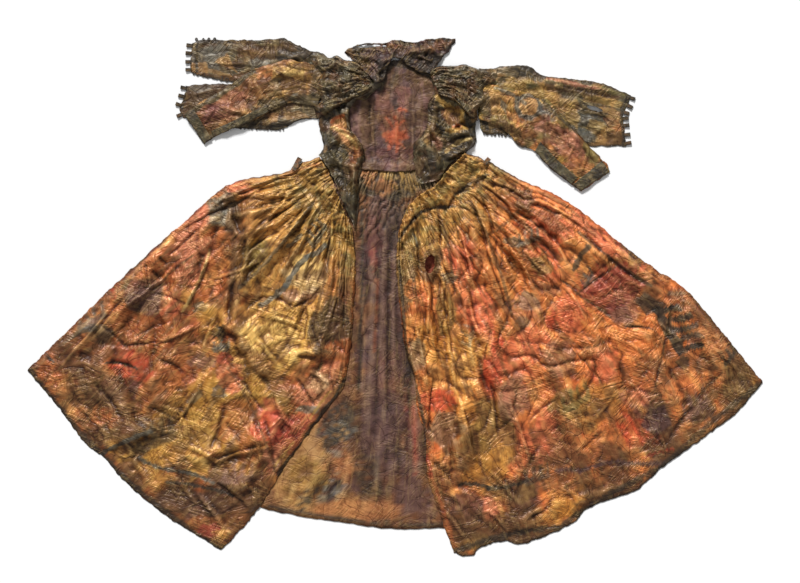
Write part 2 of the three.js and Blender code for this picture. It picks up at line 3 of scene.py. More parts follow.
import bpy
import numpy as np
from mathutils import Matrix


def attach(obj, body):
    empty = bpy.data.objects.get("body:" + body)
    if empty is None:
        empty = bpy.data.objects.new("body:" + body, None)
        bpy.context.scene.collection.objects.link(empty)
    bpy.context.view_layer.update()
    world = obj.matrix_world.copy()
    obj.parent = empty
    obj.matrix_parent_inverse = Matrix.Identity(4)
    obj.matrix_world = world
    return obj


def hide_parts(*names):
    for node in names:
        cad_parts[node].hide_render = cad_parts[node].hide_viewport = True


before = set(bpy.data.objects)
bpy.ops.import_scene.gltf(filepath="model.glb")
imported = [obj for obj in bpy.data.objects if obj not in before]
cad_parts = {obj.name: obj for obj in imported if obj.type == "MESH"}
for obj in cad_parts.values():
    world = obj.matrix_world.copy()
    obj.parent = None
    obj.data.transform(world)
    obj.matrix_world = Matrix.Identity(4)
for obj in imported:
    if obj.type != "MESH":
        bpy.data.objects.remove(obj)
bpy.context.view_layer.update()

# Blender's metres. Places and sizes in the tables are millimetres, and mm brings them over.
mm = 0.001
print("frame loaded")

cloth = {
    "thickness": 1.2,
    "clearance": 1.9,  # from what is beneath to the top face, before folds
    "hemWobble": 3.2,  # how far a worn edge strays
    "stripWobble": 0.8,  # the same on a narrow strip
    "wobbleSize": 24,  # from one stray to the next
    "edging": 0.02,  # share of the sheet that strays with its edge
    "shadeHighlightAndDirt": 0.55,  # how strongly the valleys are darkened, painted shade with some dirt, and the crests lightened as painted highlight
}


# noise and smoothing, all on numpy grids

def smooth(t):
    t = np.clip(t, 0, 1)
    return t * t * (3 - 2 * t)


def turned(x, y, angle):  # along a direction and across it
    return x * math.cos(angle) + y * math.sin(angle), y * math.cos(angle) - x * math.sin(angle)


def scatter(i, j, seed):  # an even spread from 0 to 1 for each pair of whole numbers
    h = (i * 374761393 + j * 668265263 + seed * 982451653) & 0xFFFFFFFF
    h = ((h ^ (h >> 13)) * 1274126177) & 0xFFFFFFFF
    return ((h ^ (h >> 16)) & 0xFFFFFF) / 0xFFFFFF


def noise(x, y, seed):  # about -1 to 1, one bump to a unit
    ix, iy = np.floor(x).astype(np.int64), np.floor(y).astype(np.int64)
    fx, fy = x - ix, y - iy
    sx = fx ** 3 * (fx * (fx * 6 - 15) + 10)
    sy = fy ** 3 * (fy * (fy * 6 - 15) + 10)
    total = 0
    for dx in (0, 1):
        for dy in (0, 1):
            turn = scatter(ix + dx, iy + dy, seed) * 2 * math.pi
            share = (sx if dx else 1 - sx) * (sy if dy else 1 - sy)
            total = total + share * (np.cos(turn) * (fx - dx) + np.sin(turn) * (fy - dy))
    return total * 1.5


def layered(x, y, size, seed, octaves=3):
    total, weight = 0, 1.0
    for k in range(octaves):
        total = total + weight * noise(x / size, y / size, seed + 17 * k)
        size, weight = size * 0.5, weight * 0.55
    return total


def crumple(x, y, size, seed):  # long sharp creases in three directions, with flat facets between
    bend = 0.4 * size * noise(x / size / 2, y / size / 2, seed + 9)
    total = 0
    for k, turn in enumerate((0.5, 1.7, 2.7)):
        along, across = turned(x, y, turn)
        crease = np.sqrt(noise(along / (2.3 * size), (across + bend) / size, seed + k) ** 2 + 0.001)
        total = total + (crease if k % 2 else -crease)
    return 1.6 * (total + 0.28)


def blurred(grid, passes):
    for _ in range(passes):
        edged = np.pad(grid, 1, mode="edge")
        beside = edged[:-2, 1:-1] + edged[2:, 1:-1] + edged[1:-1, :-2] + edged[1:-1, 2:]
        grid = (beside + 2 * grid) / 6
    return grid


# outlines

def edge(*points):  # a smooth edge through points, read by share of its length
    p = np.array([points[0], *points, points[-1]], float)
    t = np.linspace(0, len(points) - 1, 40 * len(points))
    i = np.minimum(t.astype(int), len(points) - 2)
    w = (t - i)[:, None]
    a, b, c, d = p[i], p[i + 1], p[i + 2], p[i + 3]
    line = b + 0.5 * w * (c - a + w * (2 * a - 5 * b + 4 * c - d + w * (3 * (b - c) + d - a)))
    far = np.concatenate(([0], np.cumsum(np.hypot(*np.diff(line, axis=0).T))))
    far /= far[-1]
    return lambda s: np.stack((np.interp(s, far, line[:, 0]), np.interp(s, far, line[:, 1])), -1)


def patchBetween(start, end, left, right):  # u from the left edge to the right, v from start to end
    a, b, c, d = start(0.0), start(1.0), end(0.0), end(1.0)

    def patch(u, v):
        p, q = u[..., None], v[..., None]
        across = start(u) * (1 - q) + end(u) * q
        along = left(v) * (1 - p) + right(v) * p
        return across + along - (a * (1 - p) + b * p) * (1 - q) - (c * (1 - p) + d * p) * q
    return patch


def patchOf(s):  # between a sheet's own four edges
    return patchBetween(*(edge(*s[k]) for k in ("start", "end", "left", "right")))


def partOf(patch, u0, u1, v0, v1):
    return lambda u, v: patch(u0 + (u1 - u0) * u, v0 + (v1 - v0) * v)


# folds, creases and gathers

def alongLine(x, y, x0, y0, x1, y1, bow):  # share of the way along a bowed line, distance to its side, length
    dx, dy = x1 - x0, y1 - y0
    length = math.hypot(dx, dy)
    along = ((x - x0) * dx + (y - y0) * dy) / length ** 2
    return along, ((y - y0) * dx - (x - x0) * dy) / length - bow * 4 * along * (1 - along), length


def foldHeight(rows, x, y, seed=0):
    # x0 y0 x1 y1 bow width height, and sharp from 0 for a soft roll to 1 for a crease
    total = np.zeros_like(x)
    for k, (x0, y0, x1, y1, bow, width, height, *sharp) in enumerate(rows):
        along, across, length = alongLine(x, y, x0, y0, x1, y1, bow)
        near = (along > 0) & (along < 1) & (np.abs(across) < 2.6 * width)
        along, across = along[near], across[near]
        across = across + 0.3 * width * noise(along * length / 55, 0 * along + 3.3 * k, seed + k)
        lean = math.exp(0.6 * math.sin(2.7 * k))  # one flank is steeper than the other
        off = np.clip(np.abs(across) / width * np.where(across > 0, lean, 1 / lean), 0, 1)
        ends = smooth(along / 0.3) * smooth((1 - along) / 0.3)
        soft, pinched = 0.5 + 0.5 * np.cos(math.pi * off), (1 - off) ** 2
        total[near] += height * ends * (soft + (pinched - soft) * (sharp[0] if sharp else 0))
    return total


def profile(rows, v):  # rows of v and value, eased
    vs, values = zip(*rows)
    k = np.clip(np.searchsorted(vs, v) - 1, 0, len(vs) - 2)
    vs, values = np.array(vs), np.array(values, float)
    return values[k] + (values[k + 1] - values[k]) * smooth((v - vs[k]) / (vs[k + 1] - vs[k]))


def pleats(u, v, count, seed, sway=0.5):  # round crests between sharp valleys, no two alike
    t = (u * count + sway * noise(u * count * 0.3, v * 7, seed)
         + 0.35 * sway * noise(u * count, v * 19, seed + 5))
    size = 0.5 + 0.5 * scatter(np.floor(t).astype(np.int64), 0 * t.astype(np.int64), seed + 9)
    broken = 0.4 + 0.6 * smooth(0.5 + 1.2 * noise(u * count * 0.5, v * 9, seed + 13))
    return np.abs(np.sin(math.pi * t)) ** 0.75 * size * broken


# the pile of cloth, a map of how high it stands so far

pileMap = {
    "cell": 4.0, "halfX": 1260.0, "halfY": 900.0,
    "reach": 2,  # how many cells around a point hold a sheet up there
    "drape": 16,  # how many passes draw a sheet taut over what is beneath it
}
pile = np.zeros((int(2 * pileMap["halfY"] / pileMap["cell"]), int(2 * pileMap["halfX"] / pileMap["cell"])))


def restOn(x, y):  # the height a sheet is held at when it is drawn over the pile
    wide = pile.copy()
    for _ in range(pileMap["reach"]):
        edged = np.pad(wide, 1, mode="edge")
        wide = np.max([edged[:-2, 1:-1], edged[2:, 1:-1], edged[1:-1, :-2], edged[1:-1, 2:], wide], axis=0)
    taut = wide
    for _ in range(pileMap["drape"]):
        taut = np.maximum(wide, blurred(taut, 1))
    row = np.clip((y + pileMap["halfY"]) / pileMap["cell"] - 0.5, 0, taut.shape[0] - 1.001)
    column = np.clip((x + pileMap["halfX"]) / pileMap["cell"] - 0.5, 0, taut.shape[1] - 1.001)
    i, j = row.astype(int), column.astype(int)
    a, b = row - i, column - j
    return (taut[i, j] * (1 - a) * (1 - b) + taut[i + 1, j] * a * (1 - b)
            + taut[i, j + 1] * (1 - a) * b + taut[i + 1, j + 1] * a * b)


def addToPile(x, y, z):
    for s in (0, 0.34, 0.67):
        for t in (0, 0.34, 0.67):
            def between(g):
                return ((g[:-1, :-1] * (1 - s) + g[1:, :-1] * s) * (1 - t)
                        + (g[:-1, 1:] * (1 - s) + g[1:, 1:] * s) * t)
            row = ((between(y) + pileMap["halfY"]) / pileMap["cell"]).astype(int)
            column = ((between(x) + pileMap["halfX"]) / pileMap["cell"]).astype(int)
            np.maximum.at(pile, (row, column), between(z))


# colour

shades = {
    "gold": "bd9148", "paleGold": "dab871", "ochre": "a07430", "tan": "bf8c52", "orange": "c47a45",
    "rust": "a85c34", "brick": "92502f", "coral": "c26a50", "red": "b44a35", "crimson": "8e3a31",
    "rose": "b5735f", "mauve": "85625a", "plum": "593f3e", "umber": "583c26", "olive": "6e6338",
    "ash": "7b756a", "slate": "5b5c58", "charcoal": "39322b", "bone": "cbb894", "brown": "7d4f30",
    "wine": "6a3a35", "taupe": "7d6c50", "black": "231f1b", "peach": "d8925f",
    "flame": "c9603a", "moss": "4f4936",
}


def shade(name):
    return np.array([int(shades[name][i:i + 2], 16) / 255 for i in (0, 2, 4)])


def blend(colour, name, mask):
    return colour + (shade(name) - colour) * np.clip(mask, 0, 1)[..., None]


def ground(x, y, names, size, seed):  # the silk's own uneven colour
    colour = np.zeros(x.shape + (3,)) + shade(names[0])
    for k, name in enumerate(names[1:]):
        spread = layered(x, y, size * (1 + 0.3 * k), seed + 31 * k, 5)
        colour = blend(colour, name, smooth(spread * 2.6 + 0.2) * 0.8)
    return colour


def stained(colour, x, y, rows, seed):
    # shade x y rx ry turn soft strength: soft from 0.1 for a crisp tide line to 1 for a bloom
    colour = colour.copy()
    for k, (name, cx, cy, rx, ry, turn, soft, strength) in enumerate(rows):
        along, across = turned(x - cx, y - cy, math.radians(turn))
        far = np.hypot(along / rx, across / ry)
        near = far < 2.4
        spots = layered(x[near], y[near], 1.1 * math.sqrt(rx * ry), seed + k, 5)
        far = far[near] + (0.25 + 0.5 * soft) * spots
        spread = smooth((1 - far) / (0.6 * soft) + 0.5)
        rim = 0.22 * strength * (1 - soft) * np.exp(-((1 - far) / 0.12) ** 2)
        colour[near] = blend(blend(colour[near], name, strength * spread), "umber", rim)
    return colour


def streaked(colour, x, y, rows, seed):
    # shade x0 y0 x1 y1 bow width soft strength
    colour = colour.copy()
    for k, (name, x0, y0, x1, y1, bow, width, soft, strength) in enumerate(rows):
        along, across, length = alongLine(x, y, x0, y0, x1, y1, bow)
        beyond = np.maximum(0, np.abs(along - 0.5) - 0.5) * length
        far = np.hypot(across, beyond) / width
        near = far < 2.4
        far = far[near] + 0.5 * layered(x[near], y[near], 3.5 * width, seed + k, 4)
        colour[near] = blend(colour[near], name, strength * smooth((1 - far) / soft + 0.5))
    return colour


def patched(colour, x, y, rows, seed):  # shade strength soft, then the corners, turning left
    for k, (name, strength, soft, *corners) in enumerate(rows):
        far = np.full(x.shape, 1e6)
        for (x0, y0), (x1, y1) in zip(corners, corners[1:] + corners[:1]):
            side = ((x1 - x0) * (y - y0) - (y1 - y0) * (x - x0)) / math.hypot(x1 - x0, y1 - y0)
            far = np.minimum(far, side)
        far = far + 4 * layered(x, y, 30, seed + k, 3)
        colour = blend(colour, name, strength * smooth(far / soft + 0.5))
    return colour


def leafMark(colour, x, y, rows, seed):
    # shade x y turn size fingers strength: a spine with fingers down one side, as worn damask leaves them
    for k, (name, cx, cy, turn, size, fingers, strength) in enumerate(rows):
        along, across = turned(x - cx, y - cy, math.radians(turn))
        along = along / size + 0.05 * layered(x, y, 0.3 * size, seed + k, 3)
        across = across / size + 0.04 * layered(x, y, 0.25 * size, seed + k + 5, 3)
        far = np.maximum(np.abs(along) / 0.5, np.abs(across) / (0.11 - 0.07 * np.abs(along)))
        for i in range(fingers):
            place = -0.4 + 0.8 * i / max(1, fingers - 1)
            reach = 0.5 * math.sin(math.pi * (0.3 + 0.5 * i / fingers))
            beside = np.abs(along - place - 0.3 * across) / 0.062
            far = np.minimum(far, np.maximum(beside, np.abs(across - reach / 2) / (reach / 2)))
        worn = 0.75 + 0.25 * smooth(0.7 + layered(x, y, 0.4 * size, seed + k + 9, 3))
        colour = blend(colour, name, strength * worn * smooth((1 - far) / 0.2 + 0.5))
    return colour


def shadowed(colour, z, depth):  # painted shade darkens the valleys, partly as dirt, and a painted highlight lightens the crests
    small, large = blurred(z, 3) - z, blurred(z, 18) - z
    valley = np.clip(small / 1.3, -1, 1) * 0.6 + np.clip(large / 5, -1, 1) * 0.6
    dark = np.clip(valley, 0, 1)[..., None] * depth * np.array((0.86, 1.0, 1.1))
    paintedHighlight = np.clip(-valley, 0, 1)[..., None] * depth * np.array((0.3, 0.26, 0.18))
    return colour * (1 - dark) + (1 - colour) * paintedHighlight


def linear(colour):
    colour = np.clip(colour, 0, 1)
    return np.where(colour < 0.04045, colour / 12.92, ((colour + 0.055) / 1.055) ** 2.4)


# sheets

def openRips(x, y, rips):  # draws the cloth back from each rip, and says which points were in it
    torn = np.zeros(x.shape, bool)
    for cx, cy, length, width, turn in rips:
        dx, dy = x - cx, y - cy
        along, across = turned(dx, dy, math.radians(turn))
        ragged = 1 + 0.12 * noise(np.arctan2(across, along) * 3, 0 * along, 71)
        far = np.maximum(np.hypot(along / (length / 2), across / (width / 2)) / ragged, 0.02)
        inside = far < 1
        torn |= inside
        x, y = np.where(inside, cx + dx / far, x), np.where(inside, cy + dy / far, y)
    return x, y, torn


def gridOf(rows, columns, size=(1, 1)):  # v and u at each point of a sheet
    return np.meshgrid(np.linspace(0, size[1], rows + 1), np.linspace(0, size[0], columns + 1), indexing="ij")


def clothMesh(name, x, y, z, flat, colour, rips=()):
    x, y, torn = openRips(x, y, rips)
    rows, columns = x.shape[0] - 1, x.shape[1] - 1
    v, u = gridOf(rows, columns, flat)
    grids = [x, y, z, u, v, torn, colour]
    ax, ay = x[-1, columns // 2] - x[0, columns // 2], y[-1, columns // 2] - y[0, columns // 2]
    bx, by = x[rows // 2, -1] - x[rows // 2, 0], y[rows // 2, -1] - y[rows // 2, 0]
    if bx * ay - by * ax < 0:  # the face has to point up
        grids = [g[::-1] for g in grids]
    x, y, z, u, v, torn, colour = grids

    bpy.ops.object.select_all(action="DESELECT")
    bpy.ops.mesh.primitive_grid_add(x_subdivisions=columns, y_subdivisions=rows, size=2, location=(0, 0, 0))
    piece = bpy.context.object
    piece.name = piece.data.name = name
    mesh = piece.data
    mesh.vertices.foreach_set("co", (np.stack((x, y, z), -1) * mm).astype(np.float32).ravel())
    corners = np.empty(len(mesh.loops), np.int32)
    mesh.loops.foreach_get("vertex_index", corners)
    uv = np.stack((u.ravel()[corners], v.ravel()[corners]), -1)
    mesh.uv_layers[0].data.foreach_set("uv", uv.astype(np.float32).ravel())
    dye = mesh.color_attributes.new(name="dye", type="FLOAT_COLOR", domain="POINT")
    rgba = np.concatenate((linear(colour), np.ones(colour.shape[:2] + (1,))), -1)
    dye.data.foreach_set("color", rgba.astype(np.float32).ravel())
    if torn.any():
        bpy.ops.object.mode_set(mode="EDIT")
        bpy.ops.mesh.select_mode(type="FACE")
        bpy.ops.mesh.select_all(action="DESELECT")
        bpy.ops.object.mode_set(mode="OBJECT")
        mesh.polygons.foreach_set("select", torn.ravel()[corners].reshape(-1, 4).all(axis=1))
        bpy.ops.object.mode_set(mode="EDIT")
        bpy.ops.mesh.delete(type="FACE")
        bpy.ops.object.mode_set(mode="OBJECT")
    bpy.ops.object.modifier_add(type="SOLIDIFY")
    wall = piece.modifiers[-1]
    wall.thickness, wall.offset, wall.use_rim = cloth["thickness"] * mm, -1, True
    bpy.ops.object.modifier_apply(modifier=wall.name)
    bpy.ops.object.shade_smooth()
    return piece


def layCloth(node, s, patch, height, dye, waistward=0.0, wobble=cloth["hemWobble"]):
    # waistward crowds the rows towards the start of the patch
    name = s["name"]
    v, u = gridOf(s["rows"], s["columns"])
    v = v * (1 - waistward) + v ** 2 * waistward
    xy = patch(u, v)
    x, y = xy[..., 0], xy[..., 1]
    edging = 1 - smooth(np.minimum(np.minimum(u, 1 - u), np.minimum(v, 1 - v)) / cloth["edging"])
    seed = sum(map(ord, name))
    x = x + wobble * edging * layered(x, y, cloth["wobbleSize"], seed, 3)
    y = y + wobble * edging * layered(x, y, cloth["wobbleSize"], seed + 3, 3)
    z = restOn(x, y) + cloth["clearance"] + np.maximum(0, height(u, v, x, y))
    addToPile(x, y, z)
    # the colour gets painted shade in the valleys, partly dirt, and painted highlight on the crests
    colour = shadowed(dye(u, v, x, y), z, cloth["shadeHighlightAndDirt"])
    piece = clothMesh(name, x, y, z, s["flat"], colour, s.get("rips", ()))
    piece["node"] = node
    print(name, "laid, highest", round(float(z.max()), 1))
    return piece


# shader nodes written as expressions

class Wire:
    def __init__(self, net, socket):
        self.net, self.socket = net, socket

    def maths(self, operation, *values):
        made = self.net.node("ShaderNodeMath", {"operation": operation}, list(values))
        return Wire(self.net, made.outputs[0])

    def __add__(self, other):
        return self.maths("ADD", self, other)

    def __radd__(self, other):
        return self.maths("ADD", other, self)

    def __sub__(self, other):
        return self.maths("SUBTRACT", self, other)

    def __rsub__(self, other):
        return self.maths("SUBTRACT", other, self)

    def __mul__(self, other):
        return self.maths("MULTIPLY", self, other)

    def __rmul__(self, other):
        return self.maths("MULTIPLY", other, self)


class Net:
    def __init__(self, name):
        self.material = bpy.data.materials.new(name)
        self.material.use_nodes = True
        self.tree = self.material.node_tree
        self.shader = self.tree.nodes["Principled BSDF"]

    def node(self, kind, settings={}, inputs={}):
        made = self.tree.nodes.new(kind)
        for key, value in settings.items():
            setattr(made, key, value)
        for key, value in (enumerate(inputs) if isinstance(inputs, list) else inputs.items()):
            self.feed(made.inputs[key], value)
        return made

    def feed(self, socket, value):
        if isinstance(value, Wire):
            value = value.socket
        if isinstance(value, bpy.types.NodeSocket):
            self.tree.links.new(value, socket)
        else:
            socket.default_value = value

    def wire(self, socket):
        return Wire(self, socket)

    def vector(self, operation, *values):
        return self.node("ShaderNodeVectorMath", {"operation": operation}, list(values)).outputs[0]

    def between(self, value, low, high):  # 0 below low, 1 above high, eased
        made = self.node("ShaderNodeMapRange", {"interpolation_type": "SMOOTHSTEP"},
                         {"Value": value, "From Min": low, "From Max": high})
        return self.wire(made.outputs["Result"])

    def mixed(self, kind, factor, first, second):
        made = self.node("ShaderNodeMix", {"data_type": "RGBA", "blend_type": kind})
        for socket, value in zip((made.inputs[0], made.inputs[6], made.inputs[7]), (factor, first, second)):
            self.feed(socket, value)
        return made.outputs[2]


def silk(name, rough=0.45, lustre=0.12, creased=1.0, crinkled=1.0, blooms=0.4):
    # creased is a depth in millimetres, crinkled and blooms are how strong the crumpling and mottling are;
    # crinkled also sets the painted shade in the wrinkle valleys and the painted highlight on their crests
    net = Net(name)
    place = net.node("ShaderNodeTexCoord")
    here, along = place.outputs["Object"], place.outputs["UV"]
    dye = net.node("ShaderNodeAttribute", {"attribute_name": "dye"}).outputs["Color"]

    def cloud(vector, scale, detail, roughness, distortion=0.0):
        made = net.node("ShaderNodeTexNoise", {}, {"Vector": vector, "Scale": scale, "Detail": detail,
                                                   "Roughness": roughness, "Distortion": distortion})
        return net.wire(made.outputs[0])

    bloom, fleck, grain = cloud(here, 15, 9, 0.68, 0.5), cloud(here, 62, 7, 0.66), cloud(here, 380, 2, 0.5)
    fall = net.vector("MULTIPLY", along, (46, 7, 1))
    run = cloud(fall, 1, 6, 0.66, 0.4)  # streaks that run the way that the cloth hangs

    def ridged(*notes):  # sharp lines where a cloud passes its middle level
        level = cloud(*notes) - 0.5
        return level.maths("ABSOLUTE", level)

    def facets(scale, distortion, shift):  # flat between sharp lines
        return ridged(net.vector("ADD", here, (shift, 2 * shift, 0)), scale, 1, 0.4, distortion)

    broad, middle, crests = facets(11, 0.5, 0), facets(26, 0.8, 0.3), facets(17, 0.6, 1.1)
    drift = net.node("ShaderNodeTexNoise", {}, {"Vector": here, "Scale": 9, "Detail": 2}).outputs["Color"]
    bent = net.vector("MULTIPLY_ADD", drift, (0.09, 0.09, 0), here)
    lines = []
    for scale, half in ((13, 0.03), (31, 0.055)):
        cells = net.node("ShaderNodeTexVoronoi", {"feature": "DISTANCE_TO_EDGE"},
                         {"Vector": bent, "Scale": scale})
        lines.append(1 - net.between(cells.outputs["Distance"], 0, half))
    # the valley lines of the broad facets and the crease lines also darken the colour below, as painted
    # shade, the crease lines partly as dirt
    valleys = (1 - net.between(broad, 0, 0.012)) * 0.6
    crease = lines[0] * net.between(bloom, 0.42, 0.52) + lines[1] * net.between(fleck, 0.47, 0.57) * 0.5
    crease = crease + valleys * 0.6

    swayed = net.vector("MULTIPLY_ADD", drift, (0.03, 0.03, 0), here)
    wrinkles, wrinkleShade = 0, 0  # fans of fine straight wrinkles, each direction in its own places
    for turn, across, low in ((0.35, 75, 0.47), (1.35, 62, 0.5), (2.3, 88, 0.49), (2.85, 54, 0.51)):
        rotated = net.node("ShaderNodeVectorRotate", {"rotation_type": "Z_AXIS"},
                           {"Vector": swayed, "Angle": turn}).outputs[0]
        long = net.vector("MULTIPLY_ADD", rotated, (0.16 * across, across, 0), (turn, turn, 0))
        level = ridged(long, 1, 2, 0.5, 0.25)
        moved = net.vector("ADD", here, (3 * turn, turn, 0))
        where = net.between(cloud(moved, 8, 3, 0.6), low, low + 0.08)
        wrinkles = wrinkles + level * where
        wrinkleShade = wrinkleShade + (1 - net.between(level, 0, 0.03)) * where
    threads = []
    for turn in ("X", "Y"):
        wave = net.node("ShaderNodeTexWave", {"bands_direction": turn},
                        {"Vector": along, "Scale": 260, "Distortion": 0.6})
        threads.append(net.wire(wave.outputs[1]))

    dark = net.mixed("MULTIPLY", 1.0, dye, (0.42, 0.31, 0.24, 1))
    pale = net.mixed("SCREEN", 1.0, dye, (0.2, 0.13, 0.04, 1))
    colour = dye
    for share, over in (
            (net.between(bloom, 0.52, 0.68) * (0.5 * blooms), dark),
            (net.between(run, 0.52, 0.64) * (0.8 * blooms), dark),
            ((1 - net.between(run, 0.36, 0.47)) * (0.7 * blooms), pale),
            ((1 - net.between(fleck, 0.36, 0.47)) * (0.45 * blooms), pale),
            (net.between(fleck, 0.57, 0.66) * (0.45 * blooms), dark),
            # painted shade in the crease, valley and wrinkle lines, and on the next line a painted highlight
            # on the wrinkle crests
            (crease * 0.75, dark), (wrinkleShade * (0.5 * crinkled), dark),
            (net.between(wrinkles, 0.1, 0.2) * (0.3 * crinkled), pale)):
        colour = net.mixed("MIX", share, colour, over)
    net.feed(net.shader.inputs["Base Color"], colour)
    net.feed(net.shader.inputs["Roughness"], rough + 0.3 * (fleck - 0.5) + 0.1 * crease)
    height = broad * 10 + middle * 3 - crests * 8 + wrinkles * 9
    height = height * crinkled - crease * creased
    height = height + fleck * 0.8 + grain * 0.1 + (threads[0] + threads[1]) * 0.02
    bump = net.node("ShaderNodeBump", {}, {"Strength": 1.0, "Distance": mm, "Height": height})
    net.feed(net.shader.inputs["Normal"], bump.outputs[0])
    net.shader.inputs["Metallic"].default_value = lustre
    net.shader.inputs["Specular IOR Level"].default_value = 0.3
    return net.material


finishes = {
    "silk_skirt": silk("wornSilk", rough=0.4, lustre=0.14, creased=0.9, crinkled=1.0, blooms=0.4),
    "silk_inside": silk("silkInside", rough=0.55, lustre=0.05, creased=0.7, crinkled=0.6, blooms=0.45),
    "silk_bodice": silk("bodiceSilk", rough=0.38, lustre=0.15, creased=1.0, crinkled=1.0, blooms=0.4),
    "silk_sleeve": silk("sleeveSilk", rough=0.44, lustre=0.12, creased=0.9, crinkled=1.1, blooms=0.5),
    "silk_collar": silk("collarSilk", rough=0.45, lustre=0.1, creased=1.0, crinkled=1.4, blooms=0.5),
    "silk_band": silk("bandSilk", rough=0.55, lustre=0.05, creased=0.6, crinkled=0.8, blooms=0.4),
    "silk_loop": silk("loopSilk", rough=0.6, lustre=0.03, creased=0.3, crinkled=0.4, blooms=0.3),
}
print("silk finishes ready")


def declare(piece, slot, s):
    piece.data.materials.clear()
    piece.data.materials.append(finishes[slot])
    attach(piece, "root")
    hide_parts(piece["node"])
    sizes = {"area": s["area"]} if "area" in s else {}


def settled(u, v, side=0.04, hem=0.05):  # the hem and the free edges lie down
    return smooth((1 - v) / hem) * smooth(u / side) * smooth((1 - u) / side)


# skirt back, seen from its inside between the two fronts

skirtBackSheet = {
    "name": "skirtBack", "flat": (2.6, 1.35), "area": 2.2, "columns": 170, "rows": 150,
    "start": [(-235, 455), (-150, 440), (-15, 430), (100, 430), (240, 465)],
    "end": [(-1205, -245), (-910, -445), (-645, -600), (-440, -695), (-130, -750), (15, -765), (165, -760),
            (410, -740), (675, -645), (860, -560), (1035, -430), (1130, -350), (1205, -280)],
    "left": [(-235, 455), (-355, 410), (-500, 380), (-570, 350), (-675, 260), (-875, 80), (-1205, -245)],
    "right": [(240, 465), (305, 440), (415, 380), (580, 300), (815, 115), (1045, -80), (1205, -280)],
    "lift": [(0, 1), (0.05, 5), (0.1, 2), (0.2, 1), (0.35, 0), (1, 0)],
    "fine": [(0, 8), (0.05, 14), (0.1, 12), (0.2, 5), (0.35, 0), (1, 0)],
    "main": [(0, 2), (0.1, 6), (0.2, 8), (0.4, 4), (0.7, 1), (1, 0)],
    "dark": [(0, 0.85), (0.12, 0.7), (0.3, 0), (1, 0)],  # how strong the painted shade between the fine pleats is
    "finePleats": (50, 11, 1.8), "mainPleats": (26, 12, 1.2),  # count, seed and sway
    "folds": [
        (-75, 330, -100, -520, 12, 26, 8), (-30, 305, -35, -440, -8, 20, 7), (35, 305, 60, -660, 14, 28, 8),
        (-215, -500, -300, -660, 10, 34, 7), (-110, 120, -115, -420, 8, 12, 5, 0.6),
        (5, 240, 0, -300, -6, 12, 5, 0.6),
        (80, -260, 70, -600, 6, 16, 5, 0.5), (-50, -420, -75, -690, 8, 16, 5, 0.4),
        (-140, -480, -190, -700, 6, 14, 5, 0.4),
        (-260, -560, -330, -690, 6, 14, 5, 0.4), (-180, -560, -250, -700, -6, 12, 4, 0.4),
        (-320, -600, -390, -700, 4, 12, 4, 0.4),
        (15, -420, 30, -740, -8, 14, -4, 0.7), (-100, -540, -120, -730, 4, 10, -3, 0.8),
        (50, 100, 66, -200, 4, 10, -3, 0.8),
    ],
    "stains": [
        ("plum", -10, 30, 95, 480, 0, 0.9, 0.75), ("wine", -70, 190, 26, 70, 0, 0.7, 0.6),
        ("crimson", -70, 120, 12, 50, 5, 0.6, 0.5), ("charcoal", 60, -80, 30, 200, -3, 0.8, 0.6),
        ("wine", 60, -420, 26, 130, 0, 0.7, 0.7), ("plum", -50, -400, 70, 150, 0, 0.7, 0.7),
        ("plum", 60, -640, 60, 90, 0, 0.8, 0.7), ("tan", -320, -520, 70, 150, -20, 0.6, 0.8),
        ("ochre", -290, -620, 60, 100, -20, 0.7, 0.7), ("tan", -240, -690, 120, 60, -8, 0.7, 0.7),
        ("slate", -180, -440, 48, 36, 20, 0.25, 0.8), ("orange", -170, -560, 52, 46, 0, 0.6, 0.65),
        ("plum", -205, -640, 40, 26, 30, 0.3, 0.7), ("charcoal", -285, -675, 16, 14, 0, 0.3, 0.7),
        ("orange", -130, -700, 140, 32, -4, 0.7, 0.55), ("moss", -20, 395, 140, 60, 0, 0.5, 0.7),
        ("orange", -70, 400, 40, 30, 0, 0.7, 0.7), ("gold", -10, 405, 60, 30, 0, 0.7, 0.7),
        ("orange", -40, 365, 50, 26, 0, 0.7, 0.6),
        ("ochre", 40, 390, 40, 36, 0, 0.7, 0.6),
        ("wine", -30, -250, 40, 60, 0, 0.8, 0.5), ("charcoal", 0, 250, 40, 70, 0, 0.9, 0.4),
        ("red", 115, 110, 60, 70, 0, 0.5, 0.9),
    ],
    "leaves": [
        ("charcoal", -180, -440, 50, 150, 5, 0.75), ("slate", -210, -650, 35, 110, 4, 0.7),
        ("charcoal", -290, -680, 60, 60, 3, 0.7),
        ("charcoal", -60, -590, 100, 140, 5, 0.5),
    ],
    "streaks": [
        ("red", 60, -360, 62, -600, 4, 5, 0.8, 0.5), ("crimson", 36, -300, 44, -620, 4, 4, 0.8, 0.6),
        # the charcoal row from (-110, 300) paints the shadow that the first skirt front's edge casts on the
        # skirt back
        ("charcoal", -110, 300, -122, -300, 6, 5, 0.9, 0.7), ("tan", -200, -420, -150, -455, 4, 4, 0.3, 0.7),
        ("tan", -215, -445, -165, -480, 4, 4, 0.3, 0.7), ("ash", -225, -505, -180, -520, 2, 8, 0.5, 0.6),
        ("charcoal", -420, -690, 160, -752, -14, 6, 0.6, 0.7), ("rust", -60, 60, -70, -180, 4, 6, 0.9, 0.5),
    ],
}


